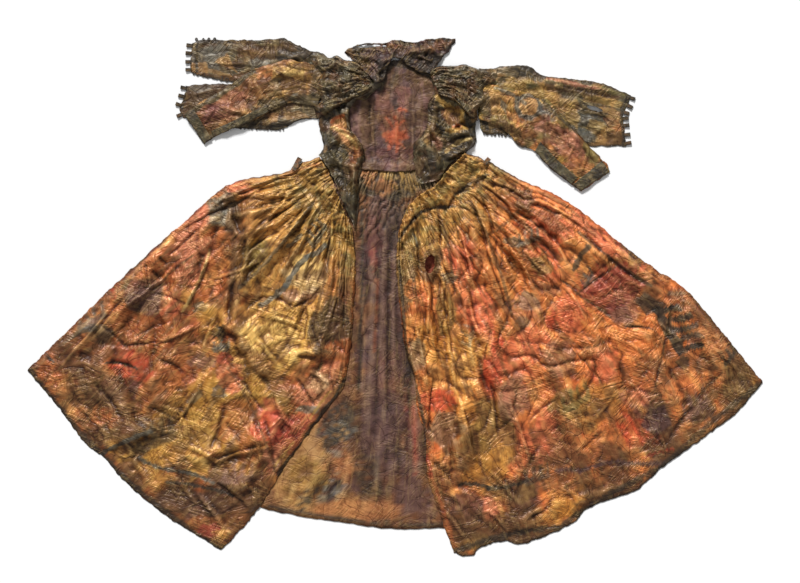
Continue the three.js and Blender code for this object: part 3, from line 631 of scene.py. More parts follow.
def makeSkirtBack():
    s = skirtBackSheet

    def height(u, v, x, y):
        middle = smooth((u - 0.2) / 0.06 + 0.5) * smooth((0.72 - u) / 0.06 + 0.5)
        raised = (profile(s["lift"], v) + profile(s["fine"], v) * pleats(u, v, *s["finePleats"])
                  + profile(s["main"], v) * pleats(u, v, *s["mainPleats"]))
        rough = 1.6 * crumple(x, y, 70, 14) + 0.9 * crumple(x, y, 32, 15) + 1.2
        return settled(u, v) * (middle * raised + foldHeight(s["folds"], x, y, 13) + np.maximum(0, rough))

    def dye(u, v, x, y):
        colour = stained(ground(x, y, ("brown", "plum", "umber", "brown"), 120, 21), x, y, s["stains"], 22)
        # painted shade: the valleys between the fine pleats near the waist are blended towards black
        between = smooth(0.9 - 2.4 * pleats(u, v, *s["finePleats"])) * profile(s["dark"], v)
        colour = blend(colour, "black", between)
        return streaked(leafMark(colour, x, y, s["leaves"], 24), x, y, s["streaks"], 23)

    return layCloth("skirt_back", s, patchOf(s), height, dye, waistward=0.35)


skirtBack = makeSkirtBack()
declare(skirtBack, "silk_inside", skirtBackSheet)


# bodice back, its inside

bodiceBackSheet = {
    "name": "bodiceBack", "flat": (0.46, 0.37), "area": 0.15, "columns": 90, "rows": 80,
    "start": [(-180, 720), (-90, 745), (-30, 775), (20, 785), (75, 765), (130, 735), (220, 720)],
    "end": [(-210, 450), (-140, 430), (-15, 415), (100, 425), (230, 465)],
    "left": [(-180, 720), (-215, 650), (-230, 585), (-225, 520), (-210, 450)],
    "right": [(220, 720), (250, 650), (255, 570), (250, 515), (230, 465)],
    "folds": [
        (-100, 700, -90, 430, -14, 30, 8), (84, 690, 66, 430, 10, 30, 8), (-75, 690, -70, 440, -5, 6, 4, 0.7),
        (60, 700, 52, 440, 5, 6, 4, 0.7), (-10, 760, -14, 560, 2, 8, 3, 0.5),
        (20, 640, 0, 440, -5, 10, 3, 0.4),
        (-40, 600, 30, 560, 8, 8, -3, 0.8), (-50, 520, 40, 500, -6, 8, -3, 0.8),
        (-30, 680, 30, 660, 4, 8, -2.5, 0.8),
    ],
    "stains": [
        ("plum", -5, 600, 90, 150, 0, 0.8, 0.35), ("brick", 0, 560, 44, 60, 10, 0.7, 0.5),
        ("flame", 4, 535, 32, 20, 0, 0.5, 0.6),
        ("brick", -40, 640, 30, 50, 0, 0.7, 0.3), ("rose", 30, 650, 26, 40, 0, 0.8, 0.4),
        ("umber", 60, 600, 22, 110, 0, 0.7, 0.6),
        ("umber", -90, 600, 24, 110, 0, 0.7, 0.6), ("wine", 0, 470, 60, 34, 0, 0.8, 0.5),
        ("charcoal", 0, 640, 12, 20, 0, 0.5, 0.4),
    ],
    "streaks": [
        # the first three rows paint the shadow under the collar's lower edge
        ("charcoal", -50, 695, -12, 778, 6, 13, 0.9, 0.75), ("black", -12, 778, 120, 732, 8, 12, 0.9, 0.7),
        ("charcoal", -12, 700, 14, 770, 0, 9, 1.0, 0.4),
        ("flame", 0, 596, 6, 482, 6, 6, 0.9, 0.65), ("flame", 6, 556, 32, 584, 4, 4, 0.9, 0.6),
        ("flame", -4, 548, -34, 596, -4, 4, 0.9, 0.6),
        ("flame", -36, 536, 38, 528, 3, 9, 0.9, 0.65), ("flame", 8, 512, 30, 496, 2, 4, 0.9, 0.55),
        ("flame", -10, 506, -22, 488, 2, 4, 0.9, 0.5),
        ("flame", 14, 622, 36, 618, 2, 5, 0.5, 0.75), ("flame", -16, 530, -20, 500, 2, 5, 0.6, 0.6),
        ("umber", -100, 700, -96, 440, -10, 5, 0.7, 0.6), ("umber", 86, 690, 70, 440, 8, 5, 0.7, 0.6),
    ],
}


def makeBodiceBack():
    s = bodiceBackSheet

    def height(u, v, x, y):
        rough = 1.6 * crumple(x, y, 40, 31) + 0.8 * crumple(x, y, 18, 32)
        return settled(u, v) * (foldHeight(s["folds"], x, y, 33) + 1.5 + rough)

    def dye(u, v, x, y):
        colour = stained(ground(x, y, ("mauve", "plum", "plum", "umber"), 60, 34), x, y, s["stains"], 35)
        return streaked(colour, x, y, s["streaks"], 36)

    return layCloth("bodice_back", s, patchOf(s), height, dye)


bodiceBack = makeBodiceBack()
declare(bodiceBack, "silk_inside", bodiceBackSheet)
print("backs laid")


# hanging sleeves, open panes with loops at their ends

paneNotes = {
    "hanging_sleeve_front_right": {
        "name": "hangingFrontRight", "flat": (0.2, 0.46), "area": 0.07, "columns": 56, "rows": 110,
        "start": [(-215, 790), (-230, 720), (-240, 650)],
        "end": [(-670, 840), (-675, 790), (-675, 745)],
        "left": [(-215, 790), (-250, 810), (-280, 815), (-345, 845), (-375, 855), (-505, 850), (-635, 850),
                 (-670, 840)],
        "right": [(-240, 650), (-315, 660), (-410, 680), (-480, 705), (-560, 715), (-640, 730), (-675, 745)],
        "folds": [(-250, 790, -600, 838, 8, 22, 7), (-320, 740, -520, 800, 6, 28, 5),
                  (-300, 810, -420, 780, 6, 12, 4, 0.5),
                  (-420, 760, -640, 770, -6, 14, 4, 0.5), (-360, 700, -560, 735, 6, 12, 4, 0.5),
                  (-520, 820, -650, 800, 0, 10, -3, 0.7),
                  (-440, 720, -500, 830, 8, 10, 3, 0.6), (-560, 740, -600, 830, -6, 9, 3, 0.6)],
        "ground": ("taupe", "moss", "umber", "ash"),
        "patches": [("tan", 0.75, 5, (-554, 808), (-596, 776), (-528, 750)),
                    ("tan", 0.65, 5, (-672, 776), (-672, 738), (-618, 736), (-624, 778)),
                    ("tan", 0.55, 6, (-632, 766), (-628, 748), (-540, 716), (-536, 732))],
        "stains": [("umber", -400, 820, 90, 24, 8, 0.6, 0.75), ("tan", -478, 800, 46, 16, 6, 0.5, 0.35),
                   ("charcoal", -330, 800, 60, 26, 20, 0.6, 0.7), ("brown", -500, 730, 60, 14, 10, 0.6, 0.6),
                   ("charcoal", -600, 845, 60, 8, 0, 0.5, 0.7)],
        "streaks": [("charcoal", -655, 748, -655, 842, 0, 5, 0.6, 0.8),
                    ("umber", -640, 738, -420, 692, 6, 6, 0.6, 0.7)],
    },
    "hanging_sleeve_back_right": {
        "name": "hangingBackRight", "flat": (0.14, 0.46), "area": 0.052, "columns": 46, "rows": 100,
        "start": [(-240, 640), (-255, 590)],
        "end": [(-690, 700), (-700, 655), (-710, 625), (-700, 595)],
        "left": [(-240, 640), (-315, 650), (-395, 665), (-480, 690), (-560, 705), (-690, 700)],
        "right": [(-255, 590), (-300, 590), (-330, 580), (-375, 555), (-450, 555), (-530, 560), (-610, 575),
                  (-700, 595)],
        "folds": [(-250, 604, -480, 580, 10, 20, 6), (-380, 610, -560, 590, 0, 12, 4, 0.5),
                  (-560, 690, -680, 670, 0, 14, 4, 0.4),
                  (-600, 610, -690, 640, 0, 12, 4, 0.4)],
        "ground": ("taupe", "moss", "taupe", "umber"),
        "patches": [("tan", 0.7, 5, (-384, 612), (-422, 606), (-414, 574), (-388, 580)),
                    ("gold", 0.4, 5, (-412, 590), (-440, 588), (-438, 560), (-414, 560))],
        "stains": [("umber", -640, 650, 50, 40, 0, 0.6, 0.6), ("charcoal", -420, 575, 70, 16, 0, 0.6, 0.6),
                   ("tan", -330, 600, 40, 14, 0, 0.6, 0.5), ("ash", -650, 690, 50, 10, 0, 0.6, 0.6)],
        "streaks": [("charcoal", -690, 698, -704, 625, 0, 5, 0.6, 0.8),
                    ("charcoal", -330, 576, -560, 560, 6, 6, 0.6, 0.7)],
    },
    "hanging_sleeve_front_left": {
        "name": "hangingFrontLeft", "flat": (0.24, 0.54), "area": 0.096, "columns": 64, "rows": 116,
        "start": [(280, 755), (280, 685), (275, 610)],
        "end": [(780, 670), (770, 640), (755, 610), (755, 575), (760, 530), (765, 500)],
        "left": [(280, 755), (315, 755), (370, 765), (440, 765), (475, 740), (520, 730), (670, 710),
                 (740, 685), (780, 670)],
        "right": [(275, 610), (330, 595), (385, 575), (495, 535), (595, 510), (650, 500), (765, 500)],
        "folds": [(300, 690, 780, 668, 26, 28, 8), (420, 680, 750, 590, 14, 24, 6),
                  (560, 590, 760, 520, 6, 24, 5),
                  (500, 700, 740, 640, 6, 12, 4, 0.5), (600, 660, 740, 560, 6, 10, 4, 0.6),
                  (580, 560, 700, 600, 6, 10, 3, 0.6),
                  (460, 740, 600, 700, 6, 12, 4, 0.5), (640, 520, 740, 600, 4, 10, 3, 0.6)],
        "ground": ("taupe", "olive", "tan", "moss"),
        "patches": [("coral", 0.6, 6, (500, 738), (498, 722), (600, 694), (700, 684), (740, 684),
                    (690, 702), (560, 722)),
                    ("slate", 0.55, 6, (560, 560), (590, 520), (660, 510), (680, 560), (640, 610),
                    (580, 620)),
                    ("gold", 0.6, 5, (556, 640), (560, 590), (600, 560), (612, 600), (588, 640)),
                    ("gold", 0.5, 5, (640, 590), (632, 560), (668, 530), (700, 540), (690, 580)),
                    ("orange", 0.5, 6, (690, 592), (700, 566), (756, 572), (758, 590)),
                    ("gold", 0.55, 6, (620, 668), (624, 646), (740, 626), (756, 640), (700, 660)),
                    ("ochre", 0.55, 6, (320, 690), (330, 670), (420, 700), (500, 650), (520, 670),
                    (440, 726), (380, 730))],
        "stains": [("gold", 460, 675, 110, 26, -14, 0.6, 0.7),
                   ("tan", 725, 540, 50, 34, 0, 0.5, 0.7), ("orange", 745, 560, 26, 12, -10, 0.5, 0.65),
                   ("tan", 700, 610, 60, 16, -12, 0.5, 0.65),
                   ("slate", 630, 535, 34, 24, 0, 0.4, 0.65), ("slate", 680, 590, 40, 9, -12, 0.4, 0.6),
                   ("umber", 620, 680, 120, 12, -10, 0.5, 0.7),
                   ("charcoal", 640, 620, 50, 20, -20, 0.5, 0.65),
                   ("charcoal", 440, 740, 60, 24, 0, 0.6, 0.7),
                   ("tan", 560, 640, 50, 24, -20, 0.6, 0.55), ("umber", 730, 520, 30, 24, 0, 0.6, 0.6)],
        "streaks": [("charcoal", 766, 660, 748, 580, -4, 6, 0.6, 0.8),
                    ("charcoal", 748, 580, 756, 505, 4, 6, 0.6, 0.8)],
        "rips": [(660, 623, 56, 15, -17)],
    },
    "hanging_sleeve_back_left": {
        "name": "hangingBackLeft", "flat": (0.06, 0.11), "area": 0.0055, "columns": 34, "rows": 40,
        "start": [(280, 605), (280, 560)],
        "end": [(385, 565), (375, 535)],
        "left": [(280, 605), (330, 585), (385, 565)],
        "right": [(280, 560), (300, 540), (340, 540), (375, 535)],
        "folds": [(285, 590, 370, 552, 4, 10, 2, 0.4)],
        "ground": ("olive", "umber", "charcoal"),
        "stains": [("tan", 330, 570, 20, 12, 0, 0.6, 0.5)],
        "streaks": [("charcoal", 300, 546, 372, 540, 2, 4, 0.6, 0.7)],
    },
}


paneWaves = 9  # shallow waves where a pane comes out from under the shoulder


def makePane(node, s, seed):
    def height(u, v, x, y):
        near = profile([(0, 1), (0.3, 0.4), (1, 0)], v)
        rough = 1.3 * crumple(x, y, 34, seed) + 0.7 * crumple(x, y, 16, seed + 1) + 1.4
        folds = foldHeight(s["folds"], x, y, seed + 2)
        return settled(u, v, 0.08, 0.04) * (folds + rough + 3 * near * pleats(u, v, paneWaves, seed + 3))

    def dye(u, v, x, y):
        colour = stained(ground(x, y, s["ground"], 60, seed + 4), x, y, s["stains"], seed + 5)
        colour = patched(colour, x, y, s.get("patches", []), seed + 8)
        colour = 0.92 * streaked(colour, x, y, s["streaks"], seed + 6)
        return blend(colour, "charcoal", 0.65 * (1 - smooth(np.minimum(u, 1 - u) / 0.05)))

    return layCloth(node, s, patchOf(s), height, dye)


panes = {node: makePane(node, s, 100 + 20 * k) for k, (node, s) in enumerate(paneNotes.items())}
print("hanging sleeves laid")


# loops at the ends of the panes: a strip folded back on itself

loopStrip = {
    "length": 21, "width": 13, "strip": 2.4, "bulge": 2.8, "steps": 26, "across": 5, "flat": (0.013, 0.045),
    "standOff": -2,  # the inner end lies this far inside the pane's edge
    "turnsFrom": 0.36, "turnsTo": 0.64,  # shares of the strip between which it folds back
    "low": 0.7,  # height of the strip's middle on its way out
}


def loopPoints(at, out, wear):  # the strip's middle line goes out low, round the fold, and back on top
    length = loopStrip["length"] * (1 - 0.1 * wear)
    bulge, half = loopStrip["bulge"] - 0.6, loopStrip["strip"] / 2
    turnsFrom, turnsTo, low = loopStrip["turnsFrom"], loopStrip["turnsTo"], loopStrip["low"]
    t = np.linspace(0, 1, loopStrip["steps"] + 1)
    onward, turn = np.clip(t / turnsFrom, 0, 1), np.clip((t - turnsFrom) / (turnsTo - turnsFrom), 0, 1)
    back = np.clip((t - turnsTo) / (1 - turnsTo), 0, 1)
    angle = -math.pi / 2 + turn * math.pi * 1.1
    reach = onward * (length - bulge) + bulge * np.cos(angle) * (turn > 0) - back * (length - bulge)
    rise = low + bulge + bulge * np.sin(angle)
    rise = np.where(back > 0, rise - back * (rise - low - half) * 0.55, rise)
    rise = np.where(turn > 0, rise, low)
    side = np.linspace(-0.5, 0.5, loopStrip["across"] + 1) * loopStrip["width"] * (1 - 0.12 * wear)
    reach, side = np.meshgrid(reach, side, indexing="ij")
    rise = rise[:, None] + 0.35 * np.sin(side * 0.9 + 3 * wear)
    x = at[0] + out[0] * reach - out[1] * side
    y = at[1] + out[1] * reach + out[0] * side
    return x, y, np.maximum(0.65, rise)


picotNotes = {
    "ring": 3.2, "thread": 1.3, "height": 2.2,
    "rows": {  # x0 y0 x1 y1, how many and how large
        "loopsFrontRight": [(-668, 743, -560, 720, 8, 1.3), (-660, 853, -596, 853, 4, 1.0)],
        "loopsBackRight": [(-512, 559, -372, 555, 12, 0.7)],
        "loopsFrontLeft": [(292, 542, 376, 535, 8, 0.9)],
    },
}


def makePicots(name):
    bpy.ops.object.select_all(action="DESELECT")
    ring, thread = picotNotes["ring"] * mm, picotNotes["thread"] * mm
    bpy.ops.mesh.primitive_torus_add(major_segments=12, minor_segments=6, major_radius=ring,
                                     minor_radius=thread, location=(0, 0, 0))
    first = bpy.context.object
    dye = first.data.color_attributes.new(name="dye", type="FLOAT_COLOR", domain="POINT")
    dark = np.append(linear(shade("charcoal")), 1).astype(np.float32)
    dye.data.foreach_set("color", np.tile(dark, len(first.data.vertices)))
    made = []
    for x0, y0, x1, y1, count, large in picotNotes["rows"][name]:
        for k in range(count):
            share = (k + 0.3 * float(scatter(np.int64(k), np.int64(count), 5))) / (count - 1)
            bpy.ops.object.select_all(action="DESELECT")
            first.select_set(True)
            bpy.context.view_layer.objects.active = first
            bpy.ops.object.duplicate()
            picot = bpy.context.object
            size = large * (0.8 + 0.5 * float(scatter(np.int64(k), np.int64(count), 6)))
            px, py = x0 + (x1 - x0) * share, y0 + (y1 - y0) * share
            picot.location = (px * mm, py * mm, picotNotes["height"] * mm)
            picot.scale = (size, 1.2 * size, 1)
            bpy.ops.object.transform_apply(location=True, rotation=True, scale=True)
            made.append(picot)
    bpy.data.objects.remove(first)
    return made


loopNotes = {  # where each loop stands along its pane's end
    "hanging_sleeve_front_right": {
        "name": "loopsFrontRight", "node": "loop_front_right_", "facing": 1, "seed": 41,
        "shares": (0.09, 0.36, 0.65, 0.92)},
    "hanging_sleeve_back_right": {
        "name": "loopsBackRight", "node": "loop_back_right_", "facing": 1, "seed": 42,
        "shares": (0.08, 0.34, 0.62, 0.9)},
    "hanging_sleeve_front_left": {
        "name": "loopsFrontLeft", "node": "loop_front_left_", "facing": -1, "seed": 43,
        "shares": (0.06, 0.21, 0.36, 0.48, 0.61, 0.79, 0.95)},
}


def makeLoops(pane, s):
    line = edge(*paneNotes[pane]["end"])
    name, seed = s["name"], s["seed"]
    made = []
    for k, share in enumerate(s["shares"]):
        at, ahead, behind = line(share), line(min(1, share + 0.01)), line(max(0, share - 0.01))
        along = (ahead - behind) / np.hypot(*(ahead - behind))
        out = np.array([along[1], -along[0]]) * s["facing"]
        wear = float(scatter(np.int64(k), np.int64(seed), 3))
        x, y, z = loopPoints(at + out * loopStrip["standOff"], out, wear)
        colour = ground(x, y, ("charcoal", "umber", "black"), 12, seed + k)
        made.append(clothMesh(f"{name}{k + 1}", x, y, z, loopStrip["flat"], colour))
    made += makePicots(name)
    bpy.ops.object.select_all(action="DESELECT")
    for piece in made:
        piece.select_set(True)
    bpy.context.view_layer.objects.active = made[0]
    bpy.ops.object.join()
    row = made[0]
    row.name = row.data.name = name
    row.data.materials.clear()
    row.data.materials.append(finishes["silk_loop"])
    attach(row, "root")
    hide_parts(*(s["node"] + str(k + 1) for k in range(len(s["shares"]))))
    return row


loopRows = {pane: makeLoops(pane, s) for pane, s in loopNotes.items()}
for node, piece in panes.items():
    loopsHere = [loopRows[node]] if node in loopRows else []
    declare(piece, "silk_sleeve", paneNotes[node])
print("loops made")


# inner sleeves, an under and a top half each

innerRight = patchBetween(
    edge((-240, 765), (-235, 700), (-255, 630)), edge((-695, 600), (-630, 505)),
    edge((-240, 765), (-300, 775), (-350, 785), (-395, 775), (-480, 745), (-560, 690), (-650, 640),
         (-695, 600)),
    edge((-255, 630), (-315, 640), (-355, 640), (-395, 620), (-480, 580), (-595, 530), (-630, 505)))
innerLeft = patchBetween(
    edge((275, 590), (280, 650), (280, 705)), edge((615, 350), (710, 415)),
    edge((275, 590), (300, 580), (340, 565), (385, 530), (410, 500), (455, 485), (510, 430), (560, 390),
         (615, 350)),
    edge((280, 705), (340, 700), (435, 675), (475, 655), (500, 655), (530, 630), (550, 600), (615, 530),
         (675, 465), (700, 440), (710, 415)))
cuffRip = [(685, 445, 22, 7, -52)]

innerNotes = {
    "sleeve_under_right": {
        "name": "sleeveUnderRight", "patch": partOf(innerRight, 0.03, 0.97, 0.02, 0.99),
        "flat": (0.15, 0.47), "area": 0.06,
        "columns": 40, "rows": 60, "folds": [], "ground": ("brown", "umber"), "stains": [], "streaks": []},
    "sleeve_top_right": {
        "name": "sleeveTopRight", "patch": innerRight, "flat": (0.17, 0.52), "area": 0.07, "columns": 64,
        "rows": 124,
        "folds": [
            (-250, 725, -440, 735, -10, 28, 9), (-300, 650, -420, 700, 8, 24, 8),
            (-420, 640, -470, 730, 6, 20, 8),
            (-450, 610, -600, 640, 10, 26, 7), (-520, 640, -680, 590, 0, 22, 6),
            (-260, 750, -360, 770, 4, 12, 5, 0.5),
            (-300, 700, -420, 680, 6, 10, -4, 0.7), (-360, 760, -440, 700, 6, 9, 4, 0.6),
            (-480, 730, -500, 620, 8, 9, 4, 0.6),
            (-540, 690, -560, 590, 6, 8, 3, 0.6), (-590, 640, -640, 560, 4, 8, 3, 0.6),
            (-460, 680, -600, 620, 8, 8, -3, 0.8)],
        "ground": ("tan", "gold", "brown", "umber"),
        "stains": [
            ("gold", -340, 730, 90, 44, 4, 0.6, 0.6), ("paleGold", -330, 745, 40, 16, 8, 0.6, 0.6),
            ("umber", -370, 700, 30, 18, 30, 0.4, 0.65), ("taupe", -400, 690, 20, 40, -20, 0.5, 0.7),
            ("brown", -540, 640, 130, 56, 32, 0.6, 0.6), ("rose", -555, 636, 90, 34, 32, 0.8, 0.55),
            ("wine", -600, 600, 50, 30, 32, 0.7, 0.4), ("brown", -455, 700, 44, 24, 30, 0.6, 0.7),
            ("orange", -430, 740, 34, 14, 20, 0.5, 0.7), ("moss", -290, 650, 60, 26, 0, 0.6, 0.8),
            ("moss", -400, 640, 60, 22, 15, 0.6, 0.8),
            ("wine", -600, 610, 40, 20, 30, 0.7, 0.6), ("charcoal", -420, 625, 60, 10, 20, 0.6, 0.6),
            ("charcoal", -260, 700, 20, 50, 0, 0.7, 0.6), ("umber", -300, 765, 50, 10, 6, 0.5, 0.6)],
        "streaks": [("moss", -470, 748, -690, 605, 6, 11, 0.6, 0.8),
                    ("umber", -310, 710, -390, 745, 4, 5, 0.5, 0.6),
                    ("moss", -640, 515, -480, 585, 4, 12, 0.6, 0.8),
                    ("moss", -690, 598, -632, 512, 0, 10, 0.6, 0.8)]},
    "sleeve_under_left": {
        "name": "sleeveUnderLeft", "patch": partOf(innerLeft, 0.03, 0.98, 0.02, 0.99), "flat": (0.15, 0.5),
        "area": 0.065,
        "columns": 40, "rows": 60, "folds": [], "ground": ("brown", "umber"), "stains": [], "streaks": [],
        "rips": cuffRip},
    "sleeve_top_left": {
        "name": "sleeveTopLeft", "patch": innerLeft, "flat": (0.17, 0.54), "area": 0.075, "columns": 64,
        "rows": 124,
        "folds": [
            (285, 660, 420, 650, 10, 28, 8), (300, 600, 450, 560, -8, 26, 8), (440, 640, 560, 520, 12, 28, 9),
            (470, 560, 640, 420, -8, 26, 8), (560, 560, 680, 440, 6, 22, 6),
            (300, 690, 420, 672, 4, 12, 5, 0.5),
            (320, 640, 400, 600, 4, 10, -4, 0.7), (420, 660, 440, 540, 8, 9, 4, 0.6),
            (480, 650, 500, 540, 8, 9, 4, 0.6),
            (540, 610, 500, 520, 4, 8, 3, 0.6), (600, 540, 560, 440, 6, 8, 3, 0.6),
            (520, 560, 620, 460, -4, 8, -3, 0.8),
            (640, 500, 610, 400, 4, 8, 3, 0.6)],
        "ground": ("gold", "orange", "brown", "olive"),
        "patches": [
            ("slate", 0.75, 5, (488, 632), (470, 668), (436, 678), (400, 664), (392, 620), (412, 590),
            (450, 584), (480, 602)),
            ("tan", 0.9, 4, (473, 632), (462, 654), (440, 662), (416, 652), (408, 628), (418, 606),
            (442, 598), (464, 608)),
            ("slate", 0.6, 5, (374, 668), (346, 658), (352, 618), (386, 588), (396, 604), (370, 632)),
            ("ochre", 0.55, 5, (380, 654), (366, 640), (384, 606), (398, 612))],
        "stains": [
            ("tan", 350, 650, 80, 44, -10, 0.6, 0.7), ("orange", 400, 590, 34, 16, -30, 0.7, 0.6),
            ("ash", 500, 600, 30, 16, -40, 0.4, 0.7),
            ("rose", 545, 520, 100, 40, -42, 0.7, 0.75), ("brick", 590, 470, 60, 22, -42, 0.7, 0.5),
            ("brown", 520, 545, 50, 12, -42, 0.6, 0.6),
            ("slate", 500, 620, 40, 14, -30, 0.4, 0.6), ("olive", 560, 580, 40, 18, -45, 0.5, 0.6),
            ("orange", 630, 415, 44, 30, -42, 0.6, 0.75), ("umber", 380, 560, 50, 16, -40, 0.6, 0.7),
            ("charcoal", 300, 620, 20, 50, 0, 0.7, 0.6), ("umber", 500, 470, 60, 14, -45, 0.6, 0.6)],
        "streaks": [("charcoal", 480, 660, 610, 540, -6, 6, 0.5, 0.7),
                    ("slate", 330, 690, 430, 640, 6, 6, 0.4, 0.6),
                    ("charcoal", 400, 510, 600, 365, 6, 7, 0.6, 0.7)],
        "rips": cuffRip},
}


def makeInner(node, s, seed):
    def height(u, v, x, y):
        rough = 2.6 * crumple(x, y, 46, seed) + 1.1 * crumple(x, y, 22, seed + 1) + 2
        return settled(u, v, 0.07, 0.03) * (foldHeight(s["folds"], x, y, seed + 2) + rough)

    def flatHeight(u, v, x, y):
        return 0.4 * (1 + crumple(x, y, 40, seed)) * settled(u, v)

    def dye(u, v, x, y):
        colour = stained(ground(x, y, s["ground"], 60, seed + 4), x, y, s["stains"], seed + 5)
        colour = blend(colour, "umber", 0.5 * smooth(layered(x, y, 30, seed + 7, 4) * 2.2 - 0.3))
        colour = patched(colour, x, y, s.get("patches", []), seed + 8)
        return streaked(colour, x, y, s["streaks"], seed + 6)

    return layCloth(node, s, s["patch"], height if s["folds"] else flatHeight, dye)


inner = {node: makeInner(node, s, 300 + 20 * k) for k, (node, s) in enumerate(innerNotes.items())}
print("inner sleeves laid")

bandNotes = {
    "sleeve_band_left": {
        "name": "seamBandLeft", "patch": partOf(innerLeft, 0.01, 0.24, 0.52, 0.9),
        "flat": (0.027, 0.2), "area": 0.0054, "columns": 20, "rows": 60},
    "cuff_band_left": {
        "name": "cuffBandLeft", "patch": partOf(innerLeft, 0.01, 0.94, 0.915, 0.995),
        "flat": (0.11, 0.042), "area": 0.0046, "columns": 50, "rows": 20},
    "sleeve_band_right": {
        "name": "seamBandRight", "patch": partOf(innerRight, 0.82, 0.99, 0.42, 0.9),
        "flat": (0.021, 0.22), "area": 0.0046, "columns": 20, "rows": 60},
    "cuff_band_right": {
        "name": "cuffBandRight", "patch": partOf(innerRight, 0.06, 0.99, 0.925, 0.995),
        "flat": (0.105, 0.036), "area": 0.0037, "columns": 50, "rows": 18},
}


def makeBand(node, s, seed):
    def height(u, v, x, y):
        return settled(u, v, 0.12, 0.08) * (0.8 + 0.8 * crumple(x, y, 22, seed))

    def dye(u, v, x, y):
        return ground(x, y, ("moss", "taupe", "charcoal", "moss"), 30, seed + 1)

    return layCloth(node, s, s["patch"], height, dye, wobble=cloth["stripWobble"])


bands = {node: makeBand(node, s, 420 + 10 * k) for k, (node, s) in enumerate(bandNotes.items())}
for node, piece in bands.items():
    declare(piece, "silk_band", bandNotes[node])
for node, piece in inner.items():
    declare(piece, "silk_sleeve", innerNotes[node])
print("sleeve bands laid")


# skirt fronts

frontPleats = {
    "lift": [(0, 3), (0.035, 9), (0.07, 1), (0.105, 5), (0.17, 5), (0.27, 3), (0.4, 1), (1, 0)],
    "fine": [(0, 3), (0.035, 4), (0.07, 3), (0.105, 8), (0.16, 5), (0.24, 2), (0.36, 0.4), (0.5, 0), (1, 0)],
    "main": [(0, 2), (0.035, 4), (0.07, 2), (0.105, 11), (0.17, 11), (0.27, 8), (0.42, 4), (0.65, 1), (1, 0)],
    "broad": [(0, 0), (0.07, 0), (0.12, 3), (0.2, 7), (0.3, 12), (0.45, 14), (0.65, 12), (0.85, 5), (1, 0)],
    "kinds": [("fine", 50, 1.6), ("main", 21, 1.8), ("broad", 8, 1.3)],  # how many, and how far they sway
    "folds": 1.0, "creases": 1.6,  # how far the folds and creases of the tables rise here
}


def frontHeight(s, u, v, x, y, seed):
    top = smooth((0.085 - v) / 0.03)  # the band drawn up at the waist
    ruched = top * (8 * crumple(u * 560, v * 420, 34, seed + 7) + 2.5 * crumple(x, y, 17, seed + 17) + 6)
    waves = sum(profile(frontPleats[kind], v) * pleats(u, v, count, seed + k, sway)
                for k, (kind, count, sway) in enumerate(frontPleats["kinds"]))
    gathered = profile(frontPleats["lift"], v) + s["gathers"] * waves
    slack = smooth((v - 0.08) / 0.3)
    rough = s["slack"] * slack * (4.5 * crumple(x, y, 130, seed + 3) + 2.6 * crumple(x, y, 62, seed + 4) + 4)
    rough = rough + (0.6 + 0.4 * slack) * 1.3 * crumple(x, y, 30, seed + 5)
    drawn = smooth((0.85 - v) / 0.5) * (1 - top) * 3.4 * crumple(u * 1000, v * 260, 50, seed + 8)
    folds = frontPleats["folds"] * foldHeight(s["folds"], x, y, seed + 9)
    creases = frontPleats["creases"] * foldHeight(s["creases"], x, y, seed + 10)
    return settled(u, v, 0.025, 0.03) * (gathered + ruched + drawn + folds + creases + rough)


